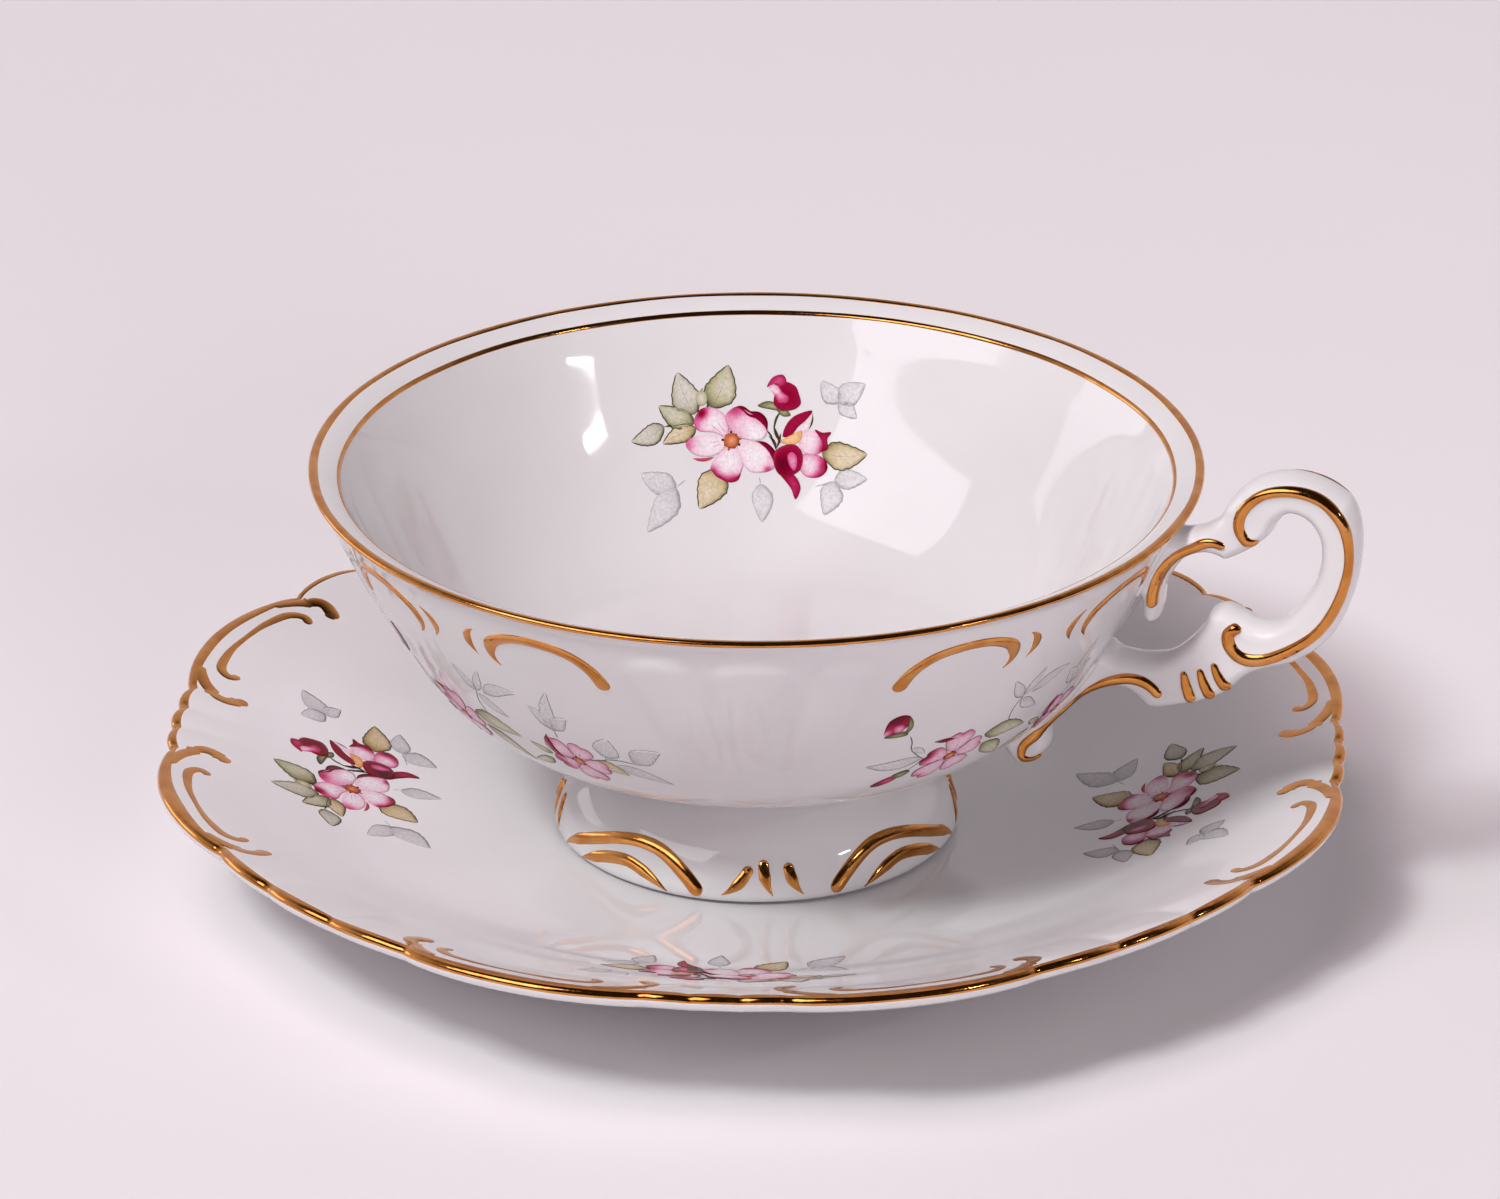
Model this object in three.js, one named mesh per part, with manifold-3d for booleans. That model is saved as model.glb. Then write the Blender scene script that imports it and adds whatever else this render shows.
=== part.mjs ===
// Footed porcelain teacup standing on its saucer.
// Millimetres, +Z up. The origin is on the cup's axis, on the surface that the saucer stands on.
// The handle lies in the XZ plane and points along +X.
import * as THREE from 'three';
import { mergeVertices } from 'three/addons/utils/BufferGeometryUtils.js';
import Module from 'manifold-3d';

// Driving dimensions
const seatHeight = 6.6;          // underside of the cup's foot above the table
const gap = 0.3;                 // clearance between pieces that touch
const film = 0.4;                // thickness given to gilding and to clay joints

const cup = {
  lipRadius: 54.7,
  lipHeight: 54.9,
  wall: 2.3,
  neckRadius: 17,
  baseHeight: 19.7,              // underside of the bowl, where the foot joins it
  floorHeight: 22.3,             // inside floor of the bowl
  innerLineRadius: 50.9,
};
const foot = { baseRadius: 24.9, rimWidth: 2.6, top: cup.baseHeight - 2 * gap - film };
const saucer = {
  wellHeight: seatHeight - gap,
  wellRadius: 31,
  thickness: 3.4,
  ringInner: 31.2,
  ringOuter: 34.2,
  rimRadius: 72,                 // radius in the notches of the scalloped edge
  rimHeight: 18.6,
  firstPairAngle: 14,            // degrees from the handle to the middle of a pair of lobes
};
const handle = { thickness: 5.8, edgeRound: 1.1, jointSplitHeight: 40 };

const segments = { bowl: 56, foot: 40, line: 56, lip: 72 };

const porcelain = new THREE.MeshStandardMaterial({ color: 0xe9e4e8, roughness: 0.12, metalness: 0 });
const clayJoint = new THREE.MeshStandardMaterial({ color: 0xe2dde0, roughness: 0.3, metalness: 0 });
const gold = new THREE.MeshStandardMaterial({ color: 0xb8762f, roughness: 0.22, metalness: 1 });

const wasm = await Module();
wasm.setup();

const degrees = THREE.MathUtils.degToRad;
const v2 = (r, z) => new THREE.Vector2(r, z);

// Revolves a closed (radius, height) section about the Z axis.
function revolve(section, count) {
  const geometry = new THREE.LatheGeometry([...section, section[0].clone()], count);
  geometry.rotateX(Math.PI / 2);
  return geometry;
}

// Revolves a section that starts and ends on the axis.
function revolveFromAxis(section, count) {
  const geometry = new THREE.LatheGeometry(section, count);
  geometry.rotateX(Math.PI / 2);
  return geometry;
}

function piece(name, geometry, material) {
  const mesh = new THREE.Mesh(geometry, material);
  mesh.name = name;
  return mesh;
}

// The line of points pushed sideways by a distance, to its right as it is travelled.
function offsetLine(points, distance) {
  return points.map((point, i) => {
    const before = points[Math.max(i - 1, 0)];
    const after = points[Math.min(i + 1, points.length - 1)];
    const along = after.clone().sub(before).normalize();
    return v2(point.x + along.y * distance, point.y - along.x * distance);
  });
}

// Bowl: a quarter-round bottom that sweeps up into a straight flare
function bowlOutside(count) {
  const curve = new THREE.CubicBezierCurve(
    v2(cup.neckRadius, cup.baseHeight),
    v2(40.4, 20.6),
    v2(43.6, 33.6),
    v2(52.6, cup.lipHeight - 2.9),
  );
  return curve.getPoints(count);
}

function bowlSection() {
  const outside = bowlOutside(12);
  const underLip = v2(cup.lipRadius - 1.7, cup.lipHeight - 1.7);
  const lipEdge = v2(cup.lipRadius - 1.0, cup.lipHeight - 0.9);
  const lipTop = v2(cup.lipRadius - 1.6, cup.lipHeight - 0.7);
  const insideLip = v2(cup.innerLineRadius, cup.lipHeight - 1.4);
  const inside = offsetLine(outside, -cup.wall).slice(3).reverse();
  return [v2(0, cup.baseHeight), ...outside, underLip, lipEdge, lipTop, insideLip, ...inside,
    v2(cup.neckRadius, cup.floorHeight + 0.2), v2(0, cup.floorHeight)];
}

// Solid that fills the bowl's outside, grown by a clearance. Handle pieces are cut to it.
function bowlEnvelope(clearance) {
  const outside = offsetLine(bowlOutside(14), clearance);
  const lip = v2(cup.lipRadius + clearance, cup.lipHeight - 0.5);
  const top = v2(cup.lipRadius, cup.lipHeight + 5);
  return revolveFromAxis([v2(0, cup.baseHeight - clearance), ...outside, lip, top,
    v2(0, cup.lipHeight + 5)], segments.bowl);
}

// Gold band that wraps the lip's outer edge, standing off the glaze by the clearance.
function lipGilding() {
  const r = cup.lipRadius;
  const z = cup.lipHeight;
  const outer = [v2(r - 0.75, z - 1.5), v2(r, z - 0.8), v2(r - 0.2, z - 0.15), v2(r - 1.5, z)];
  const inner = [v2(r - 1.5, z - film), v2(r - 0.55, z - 0.5), v2(r - 0.5, z - 0.9)];
  return revolve([...outer, ...inner], segments.lip);
}

function innerGoldLine() {
  const r = cup.innerLineRadius - 0.4;
  const z = cup.lipHeight - 1.3 + gap;
  return revolve([v2(r, z), v2(r + 0.7, z + 0.2), v2(r + 0.6, z + 0.5), v2(r - 0.1, z + 0.3)],
    segments.line);
}

// Foot: a hollow bell with a rounded shoulder under a narrow neck
function footGeometry() {
  const base = seatHeight;
  const r = foot.baseRadius;
  const outside = [v2(r, base), v2(r + 0.2, base + 0.9), v2(r - 0.1, base + 2.8),
    v2(r - 0.9, base + 4.9), v2(r - 2.5, base + 7.2), v2(r - 4.8, base + 9.1),
    v2(r - 6.6, base + 10.8), v2(cup.neckRadius + 0.3, foot.top)];
  const inside = [v2(13, foot.top), v2(13.8, base + 10), v2(17.2, base + 7.6),
    v2(20.3, base + 5), v2(21.7, base + 2.4), v2(r - foot.rimWidth, base)];
  return revolve([...outside, ...inside], segments.foot);
}

// Ring of fired clay that joins the bowl to the foot
function footJoint() {
  const low = foot.top + gap;
  const high = low + film;
  return revolve([v2(13, low), v2(cup.neckRadius, low), v2(cup.neckRadius, high), v2(13, high)],
    segments.foot);
}

// Saucer edge: each quarter has three beads, a wide lobe, three flutes and a wide lobe.
const scallops = [
  { count: 3, width: 14 / 3, rise: 0.6, steps: 2 },
  { count: 1, width: 24, rise: 2.5, steps: 6 },
  { count: 3, width: 28 / 3, rise: 0.9, steps: 3 },
  { count: 1, width: 24, rise: 2.5, steps: 6 },
];

// Angle and radial rise of each step round the saucer's edge, starting at a pair's middle.
function edgeSteps() {
  const steps = [];
  const halfBeads = scallops[0].count * scallops[0].width / 2;
  for (let quarter = 0; quarter < 4; quarter += 1) {
    let angle = quarter * 90 + saucer.firstPairAngle - halfBeads;
    for (const scallop of scallops) {
      for (let copy = 0; copy < scallop.count; copy += 1) {
        for (let step = 0; step < scallop.steps; step += 1) {
          const share = step / scallop.steps;
          const rise = scallop.rise * Math.sin(Math.PI * share) ** 0.7;
          steps.push({ angle: degrees(angle + share * scallop.width), rise });
        }
        angle += scallop.width;
      }
    }
  }
  return steps;
}

// Turns a closed section into a ring whose edge follows the scallops. Points near the rim
// take the whole rise, points inside the flare take none.
function scallopedRing(section, fromAxis) {
  const steps = edgeSteps();
  const make = fromAxis ? revolveFromAxis : revolve;
  const geometry = make(section, steps.length);
  const position = geometry.attributes.position;
  const flareStart = 56;
  const turn = 2 * Math.PI / steps.length;
  for (let i = 0; i < position.count; i += 1) {
    const radius = Math.hypot(position.getX(i), position.getY(i));
    const angle = Math.atan2(position.getY(i), position.getX(i));
    const index = Math.round(angle / turn + steps.length) % steps.length;
    const step = steps[index];
    const share = THREE.MathUtils.smoothstep(radius, flareStart, saucer.rimRadius);
    const grown = radius + step.rise * share;
    position.setXY(i, grown * Math.cos(step.angle), grown * Math.sin(step.angle));
  }
  return geometry;
}

// Height of the saucer's upper face: a flat well, then a shallow curve up to the rim
const saucerTop = [v2(saucer.wellRadius, saucer.wellHeight), v2(40, 6.9), v2(50, 9.5),
  v2(60, 13.7), v2(66, 16.2), v2(70, 17.6)];

function saucerGeometry() {
  const rim = saucer.rimRadius;
  const top = saucer.rimHeight;
  const below = saucerTop.map((p) => v2(p.x, p.y - saucer.thickness)).slice(1);
  const ring = [v2(saucer.ringInner - 0.6, 2.4), v2(saucer.ringInner, 0), v2(saucer.ringOuter, 0),
    v2(saucer.ringOuter + 0.7, 2.3)];
  const edge = [v2(rim, top - 2.3), v2(rim + 0.1, top - 1.5), v2(rim - 0.6, top - 0.8)];
  const section = [v2(0, 2.4), ...ring, ...below, ...edge, ...[...saucerTop].reverse(),
    v2(0, saucer.wellHeight)];
  return scallopedRing(section, true);
}

// Gold band round the saucer's edge, standing off the glaze by the clearance
function saucerGilding() {
  const rim = saucer.rimRadius;
  const top = saucer.rimHeight;
  const outer = [v2(rim + 0.5, top - 1.6), v2(rim + 0.8, top - 1.4), v2(rim + 0.4, top - 0.3),
    v2(rim - 0.7, top), v2(rim - 2.0, top - 0.4)];
  const inner = [v2(rim - 1.9, top - 0.7), v2(rim - 0.5, top - 0.4), v2(rim + 0.3, top - 0.9)];
  return scallopedRing([...outer, ...inner], false);
}

// Handle: a scrolled outline, drawn from the lip over the loop to the curl under the bowl,
// then back along the inside of the finger gap.
function handleOutline() {
  const points = (list) => list.map(([x, z]) => v2(x, z));
  const outline = new THREE.Shape();
  outline.moveTo(48, 52.4);
  outline.splineThru(points([[55.5, 53.2], [58.4, 55.1], [60, 57.9], [62.5, 60.6], [66.6, 62],
    [70.8, 61.5], [74.6, 59.5]]));
  outline.splineThru(points([[76, 56], [76.1, 51], [75.1, 46.2], [72.7, 41.2], [68.8, 37.7],
    [63.3, 35.5], [59.2, 32], [54.1, 30], [50.6, 29.4], [48.6, 30.9], [47, 31.5], [42.4, 29.8],
    [39.7, 27], [38, 24.6], [37.9, 22], [36.3, 20.2], [34.3, 19.4], [32.7, 20.8], [32, 22.5]]));
  outline.lineTo(31, 26);
  outline.lineTo(42, 37);
  outline.lineTo(46.4, 35.9);
  outline.splineThru(points([[52, 36.2], [54.7, 38.2], [56.9, 41], [58, 43], [59.5, 43.6],
    [61.6, 42.9], [64, 42], [66.4, 42.6], [68.6, 45.1], [70.6, 48.6], [71.3, 52], [70.9, 54.8],
    [69.5, 56.6], [67.5, 57.1], [66, 55.9], [65, 54], [63.2, 52.2], [59.6, 50]]));
  outline.splineThru(points([[57.4, 50.6], [54.7, 49.6], [53, 47.4], [52.1, 45.2], [51.8, 42.6],
    [51.3, 40.9], [50.3, 40.6], [49.5, 41.5], [49.1, 44.6]]));
  outline.lineTo(46, 47);
  return outline;
}

function handleBlank() {
  const round = handle.edgeRound;
  const flat = handle.thickness - 2 * round;
  const geometry = new THREE.ExtrudeGeometry(handleOutline(), {
    depth: flat,
    curveSegments: 2,
    bevelThickness: round,
    bevelSize: round / 2,
    bevelOffset: -round / 2,
    bevelSegments: 2,
  });
  geometry.translate(0, 0, -flat / 2);
  geometry.rotateX(Math.PI / 2);
  return geometry;
}

function solidFrom(geometry) {
  const bare = geometry.clone();
  bare.deleteAttribute('normal');
  bare.deleteAttribute('uv');
  const merged = mergeVertices(bare, 1e-3);
  const corners = [];
  for (let i = 0; i < merged.index.count; i += 3) {
    const [a, b, c] = merged.index.array.slice(i, i + 3);
    // Triangles that collapse to a line on the axis are left out.
    if (a !== b && b !== c && c !== a) corners.push(a, b, c);
  }
  const mesh = new wasm.Mesh({
    numProp: 3,
    vertProperties: new Float32Array(merged.attributes.position.array),
    triVerts: new Uint32Array(corners),
  });
  return new wasm.Manifold(mesh);
}

function geometryFrom(solid) {
  const mesh = solid.getMesh();
  const geometry = new THREE.BufferGeometry();
  geometry.setAttribute('position', new THREE.BufferAttribute(mesh.vertProperties, mesh.numProp));
  geometry.setIndex(new THREE.BufferAttribute(mesh.triVerts, 1));
  geometry.computeVertexNormals();
  return geometry;
}

// Block that keeps everything above or below the height between the handle's two joints
function halfSpace(above) {
  const size = 200;
  const box = new THREE.BoxGeometry(size, size, size);
  box.translate(0, 0, handle.jointSplitHeight + (above ? size / 2 : -size / 2));
  return solidFrom(box);
}

// The handle stops short of the bowl, and a thin clay joint fills each place where they meet.
function handlePieces() {
  const blank = solidFrom(handleBlank());
  const inner = solidFrom(bowlEnvelope(gap));
  const outer = solidFrom(bowlEnvelope(gap + film));
  const cut = solidFrom(bowlEnvelope(2 * gap + film));
  const joints = blank.intersect(outer).subtract(inner);
  return [
    piece('cup_handle', geometryFrom(blank.subtract(cut)), porcelain),
    piece('handle_upper_joint', geometryFrom(joints.intersect(halfSpace(true))), clayJoint),
    piece('handle_lower_joint', geometryFrom(joints.intersect(halfSpace(false))), clayJoint),
  ];
}

const saucerGroup = new THREE.Group();
saucerGroup.add(piece('saucer_body', saucerGeometry(), porcelain));
saucerGroup.add(piece('saucer_rim_gilding', saucerGilding(), gold));

const cupGroup = new THREE.Group();
cupGroup.add(piece('cup_bowl', revolveFromAxis(bowlSection(), segments.bowl), porcelain));
cupGroup.add(piece('cup_foot', footGeometry(), porcelain));
cupGroup.add(piece('foot_joint', footJoint(), clayJoint));
cupGroup.add(piece('cup_lip_gilding', lipGilding(), gold));
cupGroup.add(piece('cup_inner_gold_line', innerGoldLine(), gold));
cupGroup.add(...handlePieces());

const teacup = new THREE.Group();
teacup.add(saucerGroup, cupGroup);

export default teacup;
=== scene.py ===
"""Footed porcelain teacup with a scrolled handle, standing on its scalloped saucer.

Lengths are millimetres until they become mesh vertices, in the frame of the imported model:
the cup's axis is Z, the table is z = 0 and the handle points along +X. Angles are degrees.
"""

import math

import bmesh
import bpy
import numpy as np
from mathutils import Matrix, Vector
from mathutils.geometry import delaunay_2d_cdt


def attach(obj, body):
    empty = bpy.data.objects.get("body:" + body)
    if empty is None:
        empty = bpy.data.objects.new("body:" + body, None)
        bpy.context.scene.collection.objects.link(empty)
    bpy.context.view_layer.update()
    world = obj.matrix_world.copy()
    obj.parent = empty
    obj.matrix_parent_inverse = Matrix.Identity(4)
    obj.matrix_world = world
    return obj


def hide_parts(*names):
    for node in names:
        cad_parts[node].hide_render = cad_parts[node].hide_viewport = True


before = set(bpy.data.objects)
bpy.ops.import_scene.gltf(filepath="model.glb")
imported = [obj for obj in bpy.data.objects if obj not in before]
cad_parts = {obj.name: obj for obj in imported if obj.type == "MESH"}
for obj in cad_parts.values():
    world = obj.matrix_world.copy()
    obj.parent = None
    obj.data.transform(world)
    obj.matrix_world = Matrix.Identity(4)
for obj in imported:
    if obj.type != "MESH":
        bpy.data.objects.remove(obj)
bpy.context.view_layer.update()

MM = 0.001

# Driving dimensions, the same as the CAD part's
SEAT_HEIGHT = 6.6            # underside of the cup's foot
LIP_HEIGHT = 54.9
WALL = 2.3
NECK_RADIUS = 17.0
BASE_HEIGHT = 19.7           # underside of the bowl
INNER_LINE_RADIUS = 50.9
FOOT_RADIUS = 24.9
WELL_HEIGHT = 6.3
RIM_RADIUS = 72.3            # saucer, in the notches of its edge
SAUCER_WALL = 3.0
HALF_HANDLE = 2.9            # half the handle's thickness
HANDLE_SUNK = 1.1            # how far the handle reaches into the bowl's wall
FLARE_START = 56.0           # radius at which the saucer's scallops begin

# Azimuths of the decoration, which repeats in every quarter
BOWL_PANEL = 287.2           # middle of a fluted panel
FOOT_PANEL = 291.0           # middle of three gold strokes on the foot
SAUCER_PAIR = 14.0           # middle of the beads between two lobes
INTERIOR_SPRAY = 109.0       # middle of the one spray inside the bowl
QUARTERS = (0, 90, 180, 270)

# Middles of the printed sprays
INTERIOR_SPRAY_HEIGHT = 38.1
BOWL_SPRAY_CLIMB = 28        # up the wall from the neck
SAUCER_SPRAY_RADIUS = 49.5

# Films of gold, slip and print are closed bodies that reach a little way into the glaze
EDGE_SUNK = 0.03
KEEL_SUNK = 0.1
ROUND = ("round", "round")   # the two ends of a brush stroke
POINTED = ("point", "point")
TAPERED = ("round", "point")


# ---------------------------------------------------------------- lines and surfaces

def smoothstep(low, high, value):
    """0 below low, 1 above high and a smooth rise between them."""
    share = np.clip((np.asarray(value, float) - low) / (high - low), 0, 1)
    return share * share * (3 - 2 * share)


def smooth_line(points, steps=10, closed=False):
    """A rounded line through the points, with `steps` short pieces between neighbours."""
    p = np.asarray(points, float)
    if len(p) == 2:
        p = np.vstack([p[:1], p.mean(0)[None], p[1:]])
    if closed:
        p = np.vstack([p[-1:], p, p[:2]])
    gaps = np.sqrt(np.linalg.norm(np.diff(p, axis=0), axis=1))[:, None]
    slopes = np.diff(p, axis=0) / gaps
    middle = (slopes[:-1] * gaps[1:] + slopes[1:] * gaps[:-1]) / (gaps[:-1] + gaps[1:])
    first = 2 * slopes[:1] - middle[:1]
    last = 2 * slopes[-1:] - middle[-1:]
    tangents = np.vstack([first, middle, last])
    t = np.linspace(0, 1, steps, endpoint=False)[None, :, None]
    a, b = p[:-1, None], p[1:, None]
    ta, tb = (tangents[:-1] * gaps)[:, None], (tangents[1:] * gaps)[:, None]
    pieces = (
        (2 * t**3 - 3 * t**2 + 1) * a + (t**3 - 2 * t**2 + t) * ta
        + (3 * t**2 - 2 * t**3) * b + (t**3 - t**2) * tb
    )
    if closed:
        pieces = pieces[1:-1]
        return np.vstack([pieces.reshape(-1, p.shape[1]), p[1:2]])
    return np.vstack([pieces.reshape(-1, p.shape[1]), p[-1:]])


def bezier(a, b, c, d, count):
    """Cubic curve from a to d, pulled towards b and c."""
    t = np.linspace(0, 1, count)[:, None]
    a, b, c, d = (np.array(p, float) for p in (a, b, c, d))
    return (1 - t)**3 * a + 3 * (1 - t)**2 * t * b + 3 * (1 - t) * t**2 * c + t**3 * d


def pushed(points, distance):
    """The line moved sideways, to its right as it is travelled."""
    along = np.gradient(points, axis=0)
    along /= np.linalg.norm(along, axis=1)[:, None]
    return points + distance * np.stack([along[:, 1], -along[:, 0]], axis=1)


class Line:
    """A line of (radius, height) points, walked by its length."""

    def __init__(self, points):
        self.points = np.asarray(points, float)
        steps = np.linalg.norm(np.diff(self.points, axis=0), axis=1)
        self.marks = np.concatenate([[0], np.cumsum(steps)])
        self.length = self.marks[-1]

    def at(self, mark):
        """Radius and height at a length along the line."""
        radius = np.interp(mark, self.marks, self.points[:, 0])
        height = np.interp(mark, self.marks, self.points[:, 1])
        return radius, height

    def mark_of_height(self, height):
        return np.interp(height, self.points[:, 1], self.marks)

    def mark_of_radius(self, radius):
        return np.interp(radius, self.points[:, 0], self.marks)


class Skin:
    """A surface point(u, v), with normals turned outwards by sign."""

    step = 0.12              # how far apart the points are that give its slopes

    def __init__(self, point, sign):
        self.point = point
        self.sign = sign

    def slopes(self, u, v):
        e = self.step
        along_u = (self.point(u + e, v) - self.point(u - e, v)) / (2 * e)
        along_v = (self.point(u, v + e) - self.point(u, v - e)) / (2 * e)
        normal = self.sign * np.cross(along_u, along_v)
        normal /= np.maximum(np.linalg.norm(normal, axis=-1, keepdims=True), 1e-9)
        return along_u, along_v, normal

    def place(self, u, v, lift):
        normal = self.slopes(u, v)[2]
        return self.point(u, v) + normal * np.broadcast_to(lift, u.shape)[..., None]

    def sideways(self, u, v):
        """Change of u and v for each millimetre to the left of a travelled path."""
        along_u, along_v, normal = self.slopes(u, v)
        travel = np.gradient(self.point(u, v), axis=0)
        side = np.cross(normal, travel)
        side /= np.maximum(np.linalg.norm(side, axis=-1, keepdims=True), 1e-9)
        uu, uv, vv = ((a * b).sum(-1) for a, b in
                      ((along_u, along_u), (along_u, along_v), (along_v, along_v)))
        su, sv = (side * along_u).sum(-1), (side * along_v).sum(-1)
        spread = uu * vv - uv * uv
        return (su * vv - sv * uv) / spread, (sv * uu - su * uv) / spread


def full_turn(count):
    """Azimuths evenly spaced once round the axis."""
    return np.arange(0, 360, 360 / count)


def rows_of(start, stop, spacing):
    """Marks from start to stop, about spacing apart."""
    return np.linspace(start, stop, max(int(abs(stop - start) / spacing) + 1, 2))


def revolved_skin(line, shape, sign):
    """Skin of a line turned about the axis; shape(azimuth, radius, height) adds relief."""
    def point(azimuth, mark):
        radius, height = line.at(mark)
        radius, height = shape(azimuth, radius, height)
        angle = np.radians(azimuth)
        return np.stack([radius * np.cos(angle), radius * np.sin(angle), height], axis=-1)
    return Skin(point, sign)


def patch_on(skin, line, azimuth, mark, hand, flat=False):
    """Skin of a printed patch in its own millimetres: x to its right, y towards the rim.

    hand is +1 where azimuth grows to the patch's right. A flat patch keeps its shape on the
    saucer, and any other follows the wall's curve.
    """
    centre_radius = line.at(mark)[0]

    def base(x, y):
        if flat:
            reach = np.hypot(x, centre_radius + y)
            turn = np.degrees(np.arctan2(x, centre_radius + y))
            return azimuth + hand * turn, line.mark_of_radius(reach)
        radius = line.at(mark + y)[0]
        return azimuth + hand * np.degrees(x / radius), mark + y

    def point(x, y):
        return skin.point(*base(x, y))

    patch = Skin(point, 1)
    zero = np.zeros(1)
    wanted = skin.slopes(*base(zero, zero))[2]
    if (patch.slopes(zero, zero)[2] * wanted).sum() < 0:
        patch.sign = -1
    return patch


# ---------------------------------------------------------------- mesh building

def add_object(name, data):
    made = bpy.data.objects.new(name, data)
    bpy.context.scene.collection.objects.link(made)
    return made


class Build:
    """Collects the vertices and faces of one piece, with a colour for each vertex."""

    def __init__(self):
        self.points = []
        self.faces = []
        self.colours = []
        self.count = 0

    def add(self, points, faces, colours=(1, 1, 1)):
        """Adds a part whose faces count from its own first point."""
        points = np.asarray(points, float).reshape(-1, 3)
        colours = np.broadcast_to(np.asarray(colours, float), (len(points), 3))
        self.points.append(points)
        self.colours.append(colours)
        self.faces += [tuple(int(i) + self.count for i in face) for face in faces]
        self.count += len(points)

    def piece(self, name, material, body, slot=None, replaced=()):
        """Makes the named object, hands it to its body and, with replaced, hides those nodes."""
        mesh = bpy.data.meshes.new(name)
        mesh.from_pydata((np.vstack(self.points) * MM).tolist(), [], self.faces)
        attribute = mesh.attributes.new("enamel", "FLOAT_COLOR", "POINT")
        rgba = np.hstack([np.vstack(self.colours), np.ones((self.count, 1))])
        attribute.data.foreach_set("color", rgba.astype(np.float32).ravel())
        work = bmesh.new()
        work.from_mesh(mesh)
        bmesh.ops.recalc_face_normals(work, faces=work.faces)
        work.to_mesh(mesh)
        work.free()
        mesh.shade_smooth()
        mesh.materials.append(material)
        made = add_object(name, mesh)
        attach(made, body)
        if replaced:
            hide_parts(*replaced)


def tube_faces(stations, columns, closed):
    """Quads between neighbouring rings of `columns` points each."""
    faces = []
    for i in range(stations if closed else stations - 1):
        here, there = i * columns, (i + 1) % stations * columns
        for j in range(columns):
            k = (j + 1) % columns
            faces.append((here + j, here + k, there + k, there + j))
    return faces


def revolve(build, azimuths, parts, on_axis=True):
    """Closed body of revolution from (skin, marks) parts, joined in order.

    With on_axis, the first and the last row lie on the axis and become single points.
    """
    rows = [skin.point(azimuths, np.full(len(azimuths), mark))
            for skin, marks in parts for mark in marks]
    around = len(azimuths)
    if not on_axis:
        build.add(np.vstack(rows), tube_faces(len(rows), around, closed=True))
        return
    points = np.vstack([rows[0][:1], *rows[1:-1], rows[-1][:1]])
    faces = [tuple(i + 1 for i in face)
             for face in tube_faces(len(rows) - 2, around, closed=False)]
    top = len(points) - 1
    for j in range(around):
        k = (j + 1) % around
        faces.append((0, 1 + k, 1 + j))
        faces.append((top, top - around + j, top - around + k))
    build.add(points, faces)


def band(build, skin, azimuths, low, high, height, columns=9):
    """Film all the way round between two marks, thickest in its middle."""
    middle, half = (low + high) / 2, (high - low) / 2
    rows = [skin.place(azimuths, middle + s * half, height * (1 - s ** 4) ** 0.5 - EDGE_SUNK)
            for s in np.linspace(-1, 1, columns)]
    rows.append(skin.place(azimuths, middle, -KEEL_SUNK))
    build.add(np.vstack(rows), tube_faces(len(rows), len(azimuths), closed=True))


def ribbon(build, skin, path, widths, height, lift=0.0, ends=ROUND, colour=(1, 1, 1), columns=7,
           spacing=0.3):
    """A brush stroke along path, a list of the skin's own (u, v) points."""
    dense = smooth_line(path, 14)
    run = np.linalg.norm(np.diff(skin.point(*dense.T), axis=0), axis=1)
    marks = np.concatenate([[0], np.cumsum(run)])
    length = marks[-1]
    widths = np.asarray(widths, float)
    stops = np.linspace(0, length, len(widths))
    cap = [min(width / 2, length / 3) for width in (widths[0], widths[-1])]
    bend = 1 - np.cos(np.linspace(0.25, math.pi / 2, 6))
    stations = np.unique(np.concatenate([
        np.linspace(0, length, max(int(length / spacing), 4)),
        cap[0] * bend, length - cap[1] * bend]))
    width = np.interp(stations, stops, widths)
    for kind, reach, size in ((ends[0], stations, cap[0]), (ends[1], length - stations, cap[1])):
        if kind == "round":
            width = width * np.sqrt(np.maximum(1 - np.clip(1 - reach / size, 0, 1) ** 2, 0.01))
        if kind == "point":
            width = width * np.clip(reach / (5 * size), 0.08, 1) ** 0.7
    u = np.interp(stations, marks, dense[:, 0])
    v = np.interp(stations, marks, dense[:, 1])
    du, dv = skin.sideways(u, v)
    rows = []
    for s in np.sin(np.linspace(-math.pi / 2, math.pi / 2, columns)):
        rise = lift + height * (1 - s * s) ** 0.6 * np.minimum(width / width.max() + 0.3, 1)
        offset = s * width / 2
        rows.append(skin.place(u + du * offset, v + dv * offset, rise - EDGE_SUNK))
    rows.append(skin.place(u, v, -KEEL_SUNK))
    points = np.stack(rows, axis=1)
    count = points.shape[1]
    faces = tube_faces(len(points), count, closed=False)
    faces.append(tuple(range(count)))
    faces.append(tuple(reversed(range(len(points) * count - count, len(points) * count))))
    build.add(points, faces, colour)


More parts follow.
